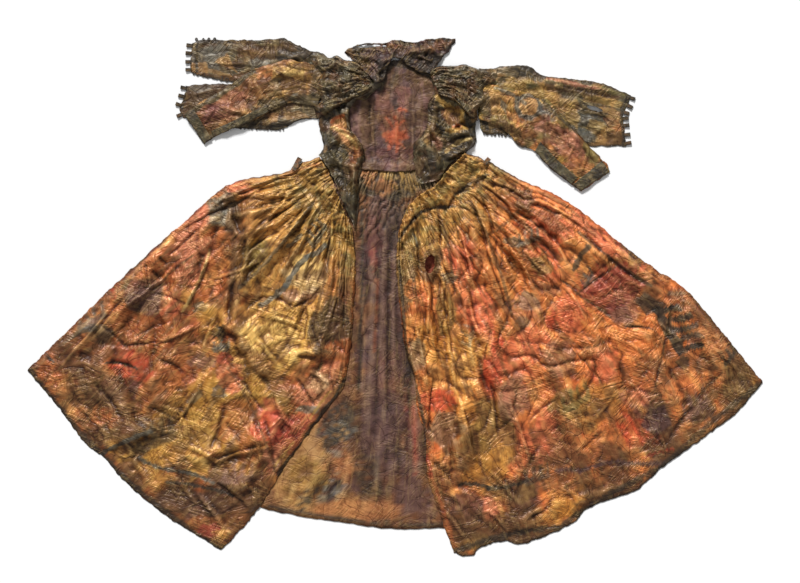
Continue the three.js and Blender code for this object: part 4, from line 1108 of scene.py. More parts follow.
skirtRightSheet = {
    "name": "skirtFrontRight", "ground": ("rust", "tan", "brown", "brick"), "flat": (1.15, 1.3), "area": 1.05,
    "columns": 218, "rows": 222, "gathers": 0.5, "slack": 1.0, "tint": (1.1, 1.06, 0.96),
    "start": [(-250, 465), (-210, 395), (-180, 315), (-140, 225)],
    "end": [(-1215, -240), (-1110, -365), (-1025, -480), (-960, -530), (-900, -600), (-815, -675),
            (-735, -735), (-575, -835)],
    "left": [(-250, 465), (-315, 440), (-355, 415), (-440, 400), (-500, 390), (-570, 360), (-675, 270),
             (-875, 90), (-1215, -240)],
    "right": [(-140, 225), (-130, 115), (-135, -10), (-145, -155), (-165, -280), (-195, -330), (-345, -530),
              (-445, -690), (-540, -800), (-575, -835)],
    "folds": [
        (-430, 380, -530, -110, -30, 54, 24), (-250, 290, -500, 10, -20, 44, 20),
        (-215, 140, -300, -200, 14, 44, 20),
        (-580, 320, -700, 60, 16, 50, 18), (-600, -20, -430, -320, 22, 56, 24),
        (-980, -120, -820, -490, -26, 66, 20),
        (-700, -560, -350, -470, 18, 54, 22), (-380, -210, -190, -165, 0, 48, 22),
        (-720, 250, -1080, -220, 30, 68, 18),
        (-675, 120, -790, -420, -30, 62, 18), (-340, -280, -600, -740, 30, 62, 18),
        (-1000, -500, -740, -420, 0, 46, 16),
        (-290, 345, -520, 345, 14, 20, 11, 0.3), (-285, 335, -560, 275, 16, 20, 12, 0.3),
        (-280, 325, -520, 190, 12, 18, 12, 0.4),
        (-275, 315, -450, 110, 12, 18, 12, 0.3), (-265, 305, -390, 60, 10, 16, 11, 0.4),
        (-250, 300, -320, 20, 8, 16, 11, 0.3),
        (-235, 290, -260, 40, 8, 16, 10, 0.4), (-210, 270, -215, 0, 6, 18, 10, 0.3),
        (-315, 380, -600, 330, 14, 18, 10, 0.4),
    ],
    "creases": [
        (-830, 135, -810, 30, 2, 12, -4, 0.9), (-810, 20, -670, -30, 6, 12, -4, 0.9),
        (-880, -145, -715, -70, 6, 12, -4, 0.9),
        (-920, -155, -740, -135, -6, 12, -4, 0.9), (-550, -235, -430, -390, 8, 12, -4, 0.9),
        (-430, -390, -395, -580, 6, 12, -4, 0.9),
        (-950, -215, -850, -235, 6, 16, -7, 0.6), (-1050, -195, -990, -195, 0, 26, -6, 0),
        (-780, 140, -750, 105, 2, 12, -6, 0.6),
        (-805, 95, -760, 55, -6, 12, -6, 0.6), (-790, -195, -685, -255, 8, 14, -6, 0.6),
        (-535, 300, -500, 200, -8, 22, -9, 0.3),
        (-500, 225, -520, 65, 10, 22, -10, 0.3), (-520, 85, -550, -90, -8, 20, -9, 0.3),
        (-270, 310, -365, 180, 10, 16, -9, 0.5),
        (-350, 200, -510, 35, -10, 18, -9, 0.4), (-295, 315, -375, 215, 8, 12, -7, 0.6),
        (-370, 220, -490, 145, -10, 12, -7, 0.6),
        (-400, -5, -330, -40, 6, 14, -7, 0.5), (-345, -35, -255, 0, 6, 14, -7, 0.5),
        (-495, -45, -400, 10, 8, 12, -6, 0.6),
        (-560, -105, -530, -245, -8, 14, -7, 0.5), (-510, -205, -410, -305, 8, 24, -8, 0.2),
        (-1005, -270, -890, -420, 10, 16, -6, 0.5),
        (-910, -545, -790, -515, 8, 14, -6, 0.5), (-635, -555, -385, -480, 12, 16, -7, 0.5),
        (-335, -190, -245, -195, 0, 20, -9, 0.2),
        (-820, -360, -700, -420, 6, 9, -4, 0.9), (-790, -350, -680, -395, 4, 9, 4, 0.8),
        (-760, -440, -680, -370, -4, 9, -4, 0.9),
        (-850, -400, -760, -450, 4, 9, 4, 0.8), (-610, 160, -700, -45, 10, 14, 7, 0.7),
        (-285, -10, -295, -160, 6, 16, 7, 0.4),
        (-330, 410, -640, 280, -14, 18, 6, 0.4), (-360, 385, -740, 200, -10, 14, -6, 0.5),
        (-300, 380, -470, 190, -8, 12, 6, 0.6),
        (-280, 350, -440, 240, 6, 9, -5, 0.8), (-240, 330, -330, 120, -6, 10, 6, 0.6),
        (-210, 280, -240, 60, 6, 9, -6, 0.7),
        (-180, 230, -190, -60, 4, 12, 7, 0.5), (-165, 130, -170, -150, 0, 8, -5, 0.7),
        (-230, 60, -330, -120, -10, 12, -6, 0.6),
        (-430, 130, -610, 60, 8, 12, 6, 0.6), (-640, 240, -760, 130, 6, 10, -5, 0.7),
        (-700, 130, -930, -60, 8, 12, 5, 0.7),
        (-860, 30, -1010, -150, -6, 10, -5, 0.8), (-930, -20, -1110, -230, 6, 12, 5, 0.6),
        (-640, -90, -820, -160, 6, 10, 5, 0.7),
        (-580, -40, -640, -190, -6, 10, 5, 0.6), (-470, -120, -380, -230, 6, 12, 6, 0.5),
        (-430, -60, -290, -110, 8, 12, 6, 0.5),
        (-290, -240, -210, -290, 4, 12, 6, 0.5), (-330, -260, -260, -370, 6, 10, -5, 0.7),
        (-400, -330, -330, -440, -6, 12, 6, 0.5),
        (-480, -380, -440, -560, 8, 10, 5, 0.6), (-560, -330, -620, -520, 8, 12, -6, 0.6),
        (-640, -300, -720, -440, -8, 10, 5, 0.7),
        (-700, -480, -560, -560, 6, 12, 6, 0.6), (-820, -480, -700, -600, 8, 10, -5, 0.8),
        (-900, -440, -800, -620, -8, 12, 6, 0.5),
        (-1060, -340, -940, -480, 8, 10, 5, 0.6), (-600, -600, -480, -700, 6, 12, -6, 0.6),
        (-660, -640, -560, -780, 6, 12, 6, 0.5),
        (-520, -600, -440, -660, 4, 10, 5, 0.6), (-760, -560, -640, -700, 4, 10, 5, 0.7),
        (-980, -80, -870, -180, 4, 9, -4, 0.9),
    ],
    "stains": [
        ("brick", -900, -100, 330, 260, -40, 0.8, 0.6), ("rust", -700, 150, 200, 160, -40, 0.8, 0.55),
        ("gold", -330, 180, 190, 220, -10, 0.8, 0.75), ("tan", -330, 80, 170, 200, 0, 0.7, 0.5),
        ("gold", -420, -170, 170, 160, 0, 0.8, 0.7), ("ochre", -600, -440, 260, 150, 20, 0.8, 0.75),
        ("gold", -660, -450, 200, 110, 20, 0.7, 0.6), ("paleGold", -670, -560, 60, 30, 10, 0.7, 0.65),
        ("brick", -470, -440, 90, 130, 20, 0.6, 0.6), ("brown", -560, -680, 130, 110, 30, 0.7, 0.7),
        ("ash", -570, 275, 46, 66, 10, 0.35, 0.8), ("bone", -572, 262, 20, 30, 10, 0.3, 0.5),
        ("slate", -560, 290, 12, 18, 0, 0.3, 0.7),
        ("coral", -520, 365, 60, 20, -10, 0.6, 0.8), ("coral", -655, 275, 50, 44, -30, 0.5, 0.75),
        ("tan", -730, 240, 90, 60, -40, 0.5, 0.65),
        ("rose", -680, 130, 60, 90, -10, 0.7, 0.65), ("tan", -420, 275, 80, 100, 0, 0.7, 0.6),
        ("umber", -403, 312, 8, 8, 0, 0.3, 0.8),
        # the mauve row at (-320, 8) paints shade on the flank above a deep crease
        ("olive", -460, 138, 50, 46, 20, 0.5, 0.75), ("mauve", -320, 8, 70, 22, 6, 0.6, 0.65),
        ("bone", -285, 75, 60, 62, 0, 0.6, 0.6),
        ("paleGold", -290, 110, 40, 40, 0, 0.6, 0.6), ("ash", -643, -28, 22, 22, 0, 0.3, 0.7),
        ("black", -580, -115, 24, 24, 0, 0.35, 0.85),
        ("slate", -575, -167, 26, 16, 0, 0.35, 0.75), ("crimson", -570, -200, 36, 18, 0, 0.5, 0.8),
        ("mauve", -640, -212, 40, 24, 0, 0.5, 0.7),
        ("paleGold", -410, -140, 100, 70, 0, 0.7, 0.6), ("coral", -760, -15, 40, 60, 0, 0.7, 0.7),
        ("gold", -690, 0, 22, 44, 12, 0.5, 0.6),
        ("plum", -810, 5, 62, 56, -20, 0.5, 0.75), ("mauve", -790, 25, 26, 20, 0, 0.4, 0.6),
        ("brown", -975, -22, 34, 18, -20, 0.5, 0.7),
        ("red", -930, 8, 16, 18, 0, 0.5, 0.75), ("charcoal", -970, -120, 44, 34, -10, 0.45, 0.75),
        # the gold row at (-1015, -172) paints a small highlight
        ("gold", -1015, -172, 14, 10, 0, 0.4, 0.7),
        ("red", -875, -230, 70, 62, -10, 0.5, 0.85), ("rust", -1160, -250, 60, 46, -40, 0.6, 0.7),
        ("orange", -1050, -120, 60, 40, -40, 0.7, 0.5),
        ("mauve", -930, -300, 44, 44, -40, 0.5, 0.6), ("plum", -860, -290, 22, 24, 0, 0.4, 0.75),
        ("gold", -905, -480, 90, 46, -10, 0.5, 0.75),
        ("coral", -545, -270, 42, 50, 0, 0.6, 0.75), ("slate", -580, -312, 22, 22, 0, 0.3, 0.7),
        ("gold", -580, -312, 10, 10, 0, 0.3, 0.7),
        ("red", -410, -430, 60, 60, 10, 0.5, 0.8), ("coral", -305, -395, 60, 20, 10, 0.5, 0.75),
        ("crimson", -345, -435, 90, 30, 14, 0.5, 0.8),
        ("rose", -400, -530, 32, 46, 0, 0.6, 0.75), ("gold", -690, -580, 70, 40, 10, 0.5, 0.7),
        ("orange", -720, -570, 50, 20, 14, 0.6, 0.65),
        ("ochre", -715, -650, 50, 28, 10, 0.5, 0.7), ("plum", -650, -680, 110, 46, -10, 0.5, 0.75),
        ("mauve", -525, -602, 90, 24, 8, 0.5, 0.7),
        ("brown", -465, -675, 66, 90, 20, 0.6, 0.75), ("crimson", -610, -765, 56, 24, -10, 0.5, 0.75),
        ("gold", -570, -780, 24, 18, 0, 0.5, 0.7),
        ("olive", -570, -825, 16, 10, 0, 0.5, 0.7), ("charcoal", -205, -85, 60, 82, -8, 0.5, 0.7),
        ("rose", -255, -295, 80, 66, 6, 0.6, 0.65),
        ("bone", -250, -280, 40, 30, 10, 0.7, 0.5), ("slate", -290, -370, 46, 14, 0, 0.4, 0.75),
        ("umber", -520, 150, 40, 150, 6, 0.6, 0.5),
        ("brown", -330, 410, 100, 28, -10, 0.6, 0.65), ("rust", -360, 405, 60, 14, -12, 0.6, 0.6),
        ("ash", -248, 404, 14, 14, 0, 0.4, 0.6),
        ("umber", -230, 350, 70, 60, 50, 0.6, 0.6), ("charcoal", -300, 330, 44, 34, 30, 0.6, 0.55),
        ("orange", -760, -290, 60, 40, 0, 0.6, 0.5),
        ("rust", -1000, -400, 60, 60, -40, 0.6, 0.5), ("umber", -1000, -330, 50, 22, -40, 0.5, 0.55),
        ("umber", -1080, -240, 70, 26, -40, 0.6, 0.45),
        ("umber", -700, -160, 50, 30, 20, 0.6, 0.45), ("gold", -620, -80, 34, 60, 20, 0.6, 0.5),
        ("charcoal", -160, 60, 24, 130, 0, 0.7, 0.55),
        ("slate", -660, -330, 30, 14, 40, 0.4, 0.5), ("olive", -380, -330, 40, 30, 0, 0.6, 0.5),
        ("brown", -600, 370, 44, 22, -20, 0.6, 0.5),
    ],
    "patches": [
        ("coral", 0.45, 10, (-640, 330), (-760, 230), (-690, 150), (-610, 250)),
        ("plum", 0.45, 9, (-900, 60), (-880, -40), (-780, -50), (-760, 60)),
        # the brown patch paints shade along the deep crease from (-510, -205)
        ("brown", 0.5, 9, (-560, -110), (-420, -300), (-330, -340), (-370, -260), (-500, -130)),
        ("gold", 0.5, 9, (-540, -130), (-520, -40), (-400, -60), (-330, -200), (-390, -250)),
        ("umber", 0.5, 10, (-1060, -110), (-900, -260), (-830, -380), (-900, -350), (-1060, -180)),
        ("red", 0.45, 9, (-440, -330), (-380, -480), (-310, -560), (-300, -470), (-400, -330)),
    ],
    "leaves": [
        ("slate", -1000, -80, 30, 110, 4, 0.5), ("slate", -250, 200, 60, 90, 4, 0.55),
        ("slate", -575, -165, 10, 60, 3, 0.65),
        ("charcoal", -790, -480, 25, 150, 5, 0.45), ("slate", -570, 280, 100, 90, 4, 0.5),
        ("olive", -900, 20, 60, 90, 4, 0.4),
        ("mauve", -520, -600, 10, 110, 4, 0.5),
    ],
    "bands": [
        ("paleGold", -250, 370, -300, 60, -10, 46, 1.2, 0.65),
        ("gold", -290, 360, -480, 60, -20, 44, 1.2, 0.6),
        ("tan", -330, 380, -560, 200, -16, 34, 1.2, 0.5),
        ("paleGold", -310, 40, -330, -200, 6, 60, 1.3, 0.55),
        ("orange", -560, 320, -620, -80, -20, 44, 1.3, 0.5),
        ("rust", -640, 250, -760, -240, -20, 60, 1.4, 0.5),
        ("gold", -800, -420, -420, -340, 20, 60, 1.3, 0.5),
        ("orange", -860, 40, -980, -360, -20, 60, 1.4, 0.45),
        # the umber row from (-490, 230) paints shade along the valley creases there
        ("umber", -490, 230, -520, -90, -16, 16, 1.2, 0.5), ("umber", -360, 300, -420, 40, -12, 10, 1.2, 0.5),
    ],
    "streaks": [
        ("slate", -230, 170, -290, 135, 4, 9, 0.35, 0.75), ("slate", -290, 135, -360, 40, -4, 9, 0.35, 0.75),
        ("slate", -360, 40, -440, -25, 4, 9, 0.35, 0.7), ("slate", -310, 205, -350, 170, 2, 7, 0.4, 0.65),
        ("charcoal", -1105, -155, -990, -100, 8, 9, 0.4, 0.7),
        ("charcoal", -1150, -187, -1128, -213, 0, 6, 0.4, 0.8),
        ("slate", -965, -515, -800, -440, 6, 7, 0.35, 0.75),
        ("slate", -845, -530, -725, -572, -8, 6, 0.35, 0.75),
        ("slate", -725, -572, -600, -612, 6, 6, 0.35, 0.75),
        ("charcoal", -755, -610, -535, -652, 8, 6, 0.4, 0.75),
        ("charcoal", -385, -582, -315, -493, 2, 7, 0.4, 0.75),
        ("charcoal", -315, -493, -250, -400, 2, 7, 0.4, 0.75),
        ("charcoal", -250, -400, -192, -322, 2, 7, 0.4, 0.75),
        ("charcoal", -192, -322, -162, -266, 2, 7, 0.4, 0.75),
        ("gold", -398, -560, -335, -478, 2, 4, 0.5, 0.7), ("gold", -280, -400, -215, -310, 2, 4, 0.5, 0.7),
        ("umber", -220, 230, -220, 125, 3, 5, 0.5, 0.6), ("umber", -220, 125, -285, -115, 8, 5, 0.5, 0.6),
        # the paleGold row from (-610, 160) paints highlight on a ridge crease; the umber rows from (-550,
        # -235) and (-535, 300) and the charcoal rows from (-270, 310) and (-950, -215) paint shade in valley
        # creases
        ("paleGold", -610, 160, -700, -45, 10, 4, 0.6, 0.75),
        ("umber", -550, -235, -395, -570, 16, 4, 0.5, 0.6),
        ("umber", -535, 300, -545, -75, 10, 10, 0.7, 0.6), ("charcoal", -270, 310, -510, 35, 12, 6, 0.7, 0.6),
        ("charcoal", -1205, -240, -900, -590, -10, 9, 0.5, 0.65),
        ("charcoal", -900, -590, -590, -825, -8, 9, 0.5, 0.65),
        ("umber", -760, 60, -660, 140, 6, 3, 0.5, 0.7), ("charcoal", -950, -215, -850, -235, 6, 4, 0.5, 0.8),
        ("orange", -380, 395, -250, 440, 4, 5, 0.5, 0.6), ("brown", -840, 100, -1190, -225, 4, 9, 0.6, 0.5),
    ],
}

skirtLeftSheet = {
    "name": "skirtFrontLeft", "ground": ("orange", "rust", "tan", "brown"), "flat": (1.35, 1.35),
    "area": 1.25,
    "columns": 218, "rows": 222, "gathers": 1.0, "slack": 0.45, "tint": (1.2, 1.07, 0.94),
    "start": [(10, 210), (30, 270), (65, 325), (135, 370), (170, 415), (230, 475)],
    "end": [(195, -845), (250, -855), (285, -825), (365, -805), (420, -815), (540, -770), (595, -740),
            (650, -690),
            (790, -640), (880, -565), (1045, -445), (1130, -380), (1215, -280)],
    "left": [(10, 210), (5, 115), (15, -25), (35, -175), (65, -280), (75, -380), (100, -445), (105, -580),
             (125, -650), (195, -845)],
    "right": [(230, 475), (255, 470), (305, 450), (415, 390), (580, 310), (815, 125), (955, 30),
              (1045, -70), (1215, -280)],
    "folds": [
        (40, 190, 65, -200, 8, 36, 20), (120, 240, 130, -400, -14, 40, 17), (225, 320, 380, -80, -16, 44, 20),
        (280, 330, 560, 0, 18, 44, 21), (365, 330, 720, 50, 14, 46, 19), (600, 240, 930, -40, 10, 52, 19),
        (270, 40, 420, -500, -20, 54, 22), (440, -20, 640, -600, 20, 56, 19),
        (560, 60, 780, -440, 16, 58, 18),
        (235, -220, 190, -640, 12, 48, 21), (740, -10, 960, -440, 20, 66, 17),
        (900, 20, 1110, -300, 10, 60, 16),
        (330, -770, 800, -610, 14, 36, 7),
        (150, 260, 215, -420, -10, 26, 12, 0.3), (190, 280, 300, -380, -14, 22, 12, 0.3),
        (90, 200, 150, -300, -6, 18, 10, 0.4),
        (330, 300, 480, -60, 12, 22, 11, 0.3), (400, 300, 620, 40, 14, 20, 10, 0.4),
        (260, 330, 330, 60, 8, 16, 10, 0.4),
    ],
    "creases": [
        (15, 190, 45, 230, 4, 12, -7, 0.5), (40, 225, 90, 285, 4, 12, -7, 0.5),
        (80, 280, 185, 295, 6, 12, -8, 0.5),
        (175, 290, 200, 340, 4, 12, -7, 0.5), (190, 335, 255, 355, 4, 12, -7, 0.5),
        (245, 352, 310, 408, 4, 12, -7, 0.5),
        (70, 260, 75, 70, 6, 14, -8, 0.5), (140, 285, 148, 150, 6, 12, -9, 0.5),
        (145, 170, 190, 45, -6, 12, -8, 0.5),
        (180, 285, 212, 180, 4, 10, -7, 0.6), (250, 315, 305, 160, 6, 14, -9, 0.5),
        (300, 170, 385, -55, -8, 14, -8, 0.5),
        (285, 330, 328, 200, 6, 12, -8, 0.5), (322, 210, 425, 65, -8, 14, -8, 0.4),
        (415, 75, 495, 5, 6, 12, -6, 0.5),
        (305, 335, 440, 200, 10, 22, -10, 0.2), (430, 210, 550, 122, -8, 22, -9, 0.2),
        (255, 390, 395, 276, 8, 13, -8, 0.5),
        (385, 284, 505, 206, 6, 13, -7, 0.5), (285, 390, 450, 308, 10, 12, -7, 0.5),
        (440, 312, 550, 262, 4, 12, -6, 0.5),
        (605, 215, 690, 142, 5, 16, -8, 0.4), (680, 148, 842, 38, -6, 16, -7, 0.4),
        (545, 60, 605, 12, 4, 10, -4, 0.9),
        (598, 12, 735, 108, 4, 10, -4, 0.9), (600, 10, 718, -72, 4, 10, -4, 0.9),
        (760, -95, 850, -105, 4, 10, -7, 0.6),
        (910, -20, 880, -195, 4, 10, -4, 0.9), (880, -195, 855, -300, -2, 10, -4, 0.9),
        (925, -435, 992, -358, 6, 12, -6, 0.5),
        (990, -360, 1082, -244, 4, 12, -6, 0.5), (810, -505, 902, -473, 4, 12, -5, 0.5),
        (900, -475, 972, -398, 4, 12, -5, 0.5),
        (820, -530, 915, -500, 3, 10, -4, 0.7), (110, -535, 197, -616, 6, 14, -7, 0.5),
        (193, -614, 272, -652, 4, 14, -6, 0.5),
        (130, -640, 222, -691, 4, 14, -7, 0.4), (218, -689, 292, -752, 4, 14, -6, 0.4),
        (425, -745, 532, -678, 6, 14, -6, 0.5),
        (365, -790, 480, -785, 4, 18, -7, 0.2), (560, -150, 700, -300, 6, 9, -4, 0.9),
        (700, -300, 900, -330, 8, 9, -4, 0.9),
        (640, -420, 760, -260, -6, 9, 4, 0.9), (520, -300, 640, -420, 6, 9, 4, 0.9),
        (600, -520, 700, -430, 4, 9, -4, 0.9),
        (760, -260, 860, -380, 4, 9, 4, 0.9), (430, -420, 540, -330, 6, 9, -4, 0.9),
        (470, -140, 560, -260, 6, 9, 4, 0.8),
        (820, -60, 960, -160, 6, 9, 4, 0.9), (700, -120, 830, -190, 6, 9, 4, 0.8),
        (940, -160, 1060, -230, 4, 9, -4, 0.9),
        (540, 60, 640, -90, 6, 10, 4, 0.8), (640, 80, 760, -20, 6, 10, 4, 0.8),
        (420, 160, 560, 20, -6, 10, 5, 0.7),
        (350, 200, 470, 20, 6, 9, 5, 0.7), (210, 230, 260, 20, 6, 9, 6, 0.6),
        (230, 60, 290, -160, -6, 12, 6, 0.5),
        (110, 90, 100, -160, 6, 10, 6, 0.6), (160, 30, 200, -220, -6, 12, -6, 0.6),
        (60, -60, 110, -300, 6, 12, 6, 0.5),
        (130, -250, 110, -480, -6, 12, -6, 0.5), (200, -300, 260, -540, 8, 14, 6, 0.5),
        (310, -260, 340, -480, 6, 12, -6, 0.6),
        (360, -300, 460, -600, 8, 12, 5, 0.6), (480, -480, 400, -660, -6, 14, -6, 0.4),
        (300, -560, 420, -700, 6, 12, 6, 0.5),
        (160, -700, 240, -800, 4, 12, 6, 0.4), (300, -700, 380, -780, 4, 10, 5, 0.5),
        (540, -620, 640, -680, 4, 12, 5, 0.5),
        (700, -520, 780, -610, 4, 10, -4, 0.8), (860, -420, 900, -520, 4, 9, 4, 0.8),
        (1000, -300, 1100, -350, 3, 9, -4, 0.9),
        (1040, -160, 1160, -270, 4, 10, 4, 0.7), (760, 120, 900, 30, 6, 9, 4, 0.8),
        (480, 320, 700, 170, 8, 12, 6, 0.5),
    ],
    "stains": [
        ("orange", 560, -60, 330, 300, -35, 0.9, 0.6), ("orange", 800, -210, 260, 190, -30, 0.8, 0.6),
        ("rust", 700, -380, 260, 150, 10, 0.8, 0.45),
        ("coral", 500, 170, 160, 70, -40, 0.6, 0.7), ("coral", 690, 190, 130, 34, -38, 0.5, 0.8),
        ("coral", 500, 255, 90, 36, -30, 0.5, 0.75),
        ("plum", 420, 330, 46, 30, -30, 0.5, 0.75), ("coral", 205, 150, 52, 66, 0, 0.6, 0.75),
        ("tan", 295, 250, 34, 44, 0, 0.5, 0.7),
        ("orange", 360, 155, 66, 66, 0, 0.6, 0.7), ("slate", 395, 180, 42, 14, -10, 0.35, 0.7),
        ("olive", 485, 108, 32, 40, 0, 0.4, 0.7),
        ("ash", 440, -15, 40, 30, 0, 0.5, 0.7), ("ash", 425, -82, 22, 22, 0, 0.35, 0.7),
        ("red", 540, -72, 38, 42, 0, 0.5, 0.75),
        ("coral", 290, -45, 38, 96, 0, 0.6, 0.8), ("red", 315, -215, 34, 88, -4, 0.5, 0.85),
        ("coral", 410, -190, 74, 84, 0, 0.6, 0.7),
        ("slate", 36, 78, 34, 112, -4, 0.5, 0.7), ("orange", 46, 22, 16, 42, 0, 0.5, 0.75),
        ("paleGold", 96, 215, 30, 48, 0, 0.5, 0.8),
        ("charcoal", 118, 105, 44, 60, 10, 0.5, 0.65), ("slate", 175, 68, 24, 20, 0, 0.4, 0.7),
        ("olive", 166, -45, 28, 96, 0, 0.5, 0.65),
        ("ochre", 166, -45, 14, 90, 4, 0.6, 0.6), ("tan", 82, -95, 44, 46, 0, 0.6, 0.7),
        ("gold", 115, -170, 72, 62, 0, 0.6, 0.75),
        ("ash", 58, -200, 38, 70, -8, 0.5, 0.65), ("gold", 238, -180, 52, 74, 0, 0.6, 0.75),
        ("paleGold", 245, -190, 24, 44, 0, 0.7, 0.6),
        ("tan", 135, -275, 34, 30, 0, 0.6, 0.7), ("red", 140, -340, 56, 40, 10, 0.5, 0.75),
        # the ash row at (170, -445) paints a pale highlight on a bulge
        ("ash", 170, -445, 60, 50, -20, 0.6, 0.65),
        ("olive", 310, -470, 84, 124, -10, 0.6, 0.7), ("gold", 345, -525, 42, 52, -20, 0.6, 0.75),
        ("ochre", 290, -560, 60, 60, 0, 0.7, 0.6),
        ("mauve", 390, -335, 46, 72, 0, 0.5, 0.7), ("coral", 485, -460, 64, 84, 10, 0.6, 0.75),
        ("olive", 590, -355, 84, 54, 10, 0.4, 0.7),
        ("charcoal", 600, -350, 40, 26, 20, 0.4, 0.55), ("mauve", 545, -200, 50, 66, 10, 0.5, 0.65),
        ("gold", 660, -360, 80, 86, 0, 0.6, 0.65),
        ("tan", 595, 130, 50, 72, -30, 0.5, 0.6), ("olive", 792, 122, 30, 40, -30, 0.4, 0.65),
        ("crimson", 690, 60, 84, 46, 20, 0.3, 0.7),
        ("mauve", 752, -35, 50, 60, 0, 0.45, 0.7), ("ash", 927, 12, 38, 8, 0, 0.3, 0.7),
        ("coral", 580, -62, 46, 72, 20, 0.5, 0.7),
        ("coral", 690, -222, 50, 54, 0, 0.5, 0.7), ("orange", 825, -190, 62, 84, 0, 0.5, 0.75),
        ("peach", 1070, -120, 74, 84, -20, 0.6, 0.6),
        ("peach", 930, -300, 80, 40, 20, 0.7, 0.5), ("olive", 1140, -290, 84, 60, -36, 0.5, 0.7),
        ("charcoal", 1150, -300, 50, 30, -36, 0.5, 0.6),
        ("plum", 850, -395, 46, 92, 40, 0.3, 0.75), ("tan", 845, -400, 10, 70, 40, 0.3, 0.6),
        ("red", 805, -440, 62, 56, 0, 0.5, 0.7),
        ("rose", 800, -325, 56, 28, 0, 0.5, 0.7), ("charcoal", 1020, -382, 40, 26, 30, 0.4, 0.7),
        ("plum", 420, -650, 64, 60, 0, 0.6, 0.7),
        ("olive", 425, -640, 40, 40, 0, 0.6, 0.6), ("plum", 240, -695, 60, 56, 0, 0.5, 0.75),
        ("rose", 315, -690, 30, 40, 0, 0.5, 0.7),
        ("olive", 265, -805, 72, 32, 0, 0.5, 0.7), ("ochre", 575, -685, 100, 46, 20, 0.6, 0.7),
        ("gold", 480, -740, 60, 24, 10, 0.6, 0.6),
        # the umber row at (220, -500) paints shade below the highlight at (170, -445)
        ("charcoal", 425, -790, 56, 20, 4, 0.5, 0.75), ("umber", 220, -500, 46, 60, 0, 0.6, 0.5),
        ("umber", 360, -740, 50, 34, 10, 0.6, 0.55),
        ("olive", 205, 410, 42, 52, 40, 0.5, 0.8), ("gold", 120, 330, 76, 36, 35, 0.5, 0.75),
        ("gold", 290, 390, 56, 30, -20, 0.6, 0.6),
        ("ochre", 250, 440, 40, 24, -20, 0.6, 0.6), ("umber", 90, 290, 50, 14, 30, 0.5, 0.6),
        ("mauve", 430, -40, 60, 40, 0, 0.7, 0.4),
        ("umber", 700, -560, 90, 26, 24, 0.6, 0.5), ("brick", 560, -540, 60, 50, 0, 0.6, 0.5),
        ("slate", 640, 60, 30, 16, -30, 0.4, 0.5),
        ("mauve", 500, 30, 46, 22, -20, 0.5, 0.5), ("umber", 250, 290, 16, 70, 30, 0.6, 0.45),
        ("gold", 190, 230, 26, 70, 8, 0.6, 0.55),
        ("charcoal", 950, -215, 22, 20, 0, 0.25, 0.8), ("mauve", 985, -140, 26, 20, 0, 0.4, 0.7),
        ("plum", 745, -55, 44, 34, -30, 0.6, 0.6),
    ],
    "bands": [
        ("coral", 200, 200, 310, -200, -14, 46, 1.2, 0.65),
        ("coral", 310, -190, 400, -520, -12, 54, 1.2, 0.6),
        ("paleGold", 150, 180, 215, -250, -10, 34, 1.2, 0.65),
        ("gold", 215, -220, 310, -620, -14, 50, 1.2, 0.7),
        ("gold", 260, 330, 350, 60, 6, 26, 1.2, 0.5), ("orange", 330, 330, 560, 10, 14, 46, 1.2, 0.6),
        ("tan", 350, 60, 520, -520, -24, 40, 1.2, 0.5), ("coral", 400, 360, 700, 190, 16, 44, 1.2, 0.55),
        ("peach", 430, 375, 830, 110, 14, 34, 1.2, 0.55),
        ("olive", 380, 60, 500, -380, -14, 20, 1.2, 0.45), ("umber", 250, 60, 330, -420, -12, 12, 1.2, 0.5),
        ("umber", 440, 120, 600, -330, -16, 12, 1.2, 0.45),
        ("orange", 560, 120, 900, -420, -30, 90, 1.4, 0.5),
    ],
    "streaks": [
        ("slate", 60, 210, 74, 170, 2, 4, 0.4, 0.6), ("umber", 420, 300, 300, 200, 6, 5, 0.5, 0.5),
        ("charcoal", 590, 95, 634, 168, 3, 9, 0.35, 0.75),
        ("plum", 530, -572, 612, -572, 4, 7, 0.35, 0.75), ("plum", 612, -572, 735, -542, 6, 7, 0.35, 0.75),
        ("plum", 735, -542, 914, -540, -8, 7, 0.35, 0.75),
        ("charcoal", 218, -615, 310, -630, 6, 7, 0.35, 0.75),
        ("charcoal", 310, -630, 450, -600, -6, 7, 0.35, 0.75),
        ("red", 100, -520, 122, -592, 2, 6, 0.5, 0.75), ("rust", 122, -592, 160, -710, 2, 6, 0.5, 0.75),
        ("rust", 160, -710, 195, -820, 2, 6, 0.5, 0.7),
        ("charcoal", 195, -840, 540, -762, 16, 9, 0.5, 0.7),
        ("charcoal", 540, -762, 880, -560, 10, 9, 0.5, 0.65),
        ("charcoal", 880, -560, 1205, -285, 6, 9, 0.5, 0.6),
        # these rows down to the two brown ones lie on valley creases of the creases table and paint shade in
        # them
        ("charcoal", 605, 215, 842, 38, -6, 5, 0.6, 0.6), ("umber", 545, 60, 600, 12, 2, 3, 0.4, 0.7),
        ("umber", 600, 12, 732, 106, 2, 3, 0.4, 0.7),
        ("umber", 600, 10, 716, -70, 3, 3, 0.4, 0.65), ("charcoal", 760, -95, 850, -105, 4, 3, 0.5, 0.75),
        ("umber", 910, -20, 856, -300, 4, 3, 0.4, 0.6),
        ("umber", 925, -435, 1080, -246, 8, 4, 0.5, 0.65), ("umber", 810, -505, 970, -400, 8, 4, 0.5, 0.6),
        ("red", 820, -530, 915, -500, 3, 4, 0.5, 0.7),
        ("charcoal", 15, 190, 88, 282, 6, 5, 0.6, 0.7), ("charcoal", 88, 282, 196, 300, 6, 5, 0.6, 0.7),
        ("charcoal", 196, 336, 306, 405, 6, 5, 0.6, 0.7),
        ("umber", 140, 285, 190, 50, 10, 5, 0.7, 0.6), ("umber", 250, 315, 385, -55, 12, 5, 0.7, 0.6),
        ("umber", 300, 335, 545, 125, 10, 8, 0.8, 0.55),
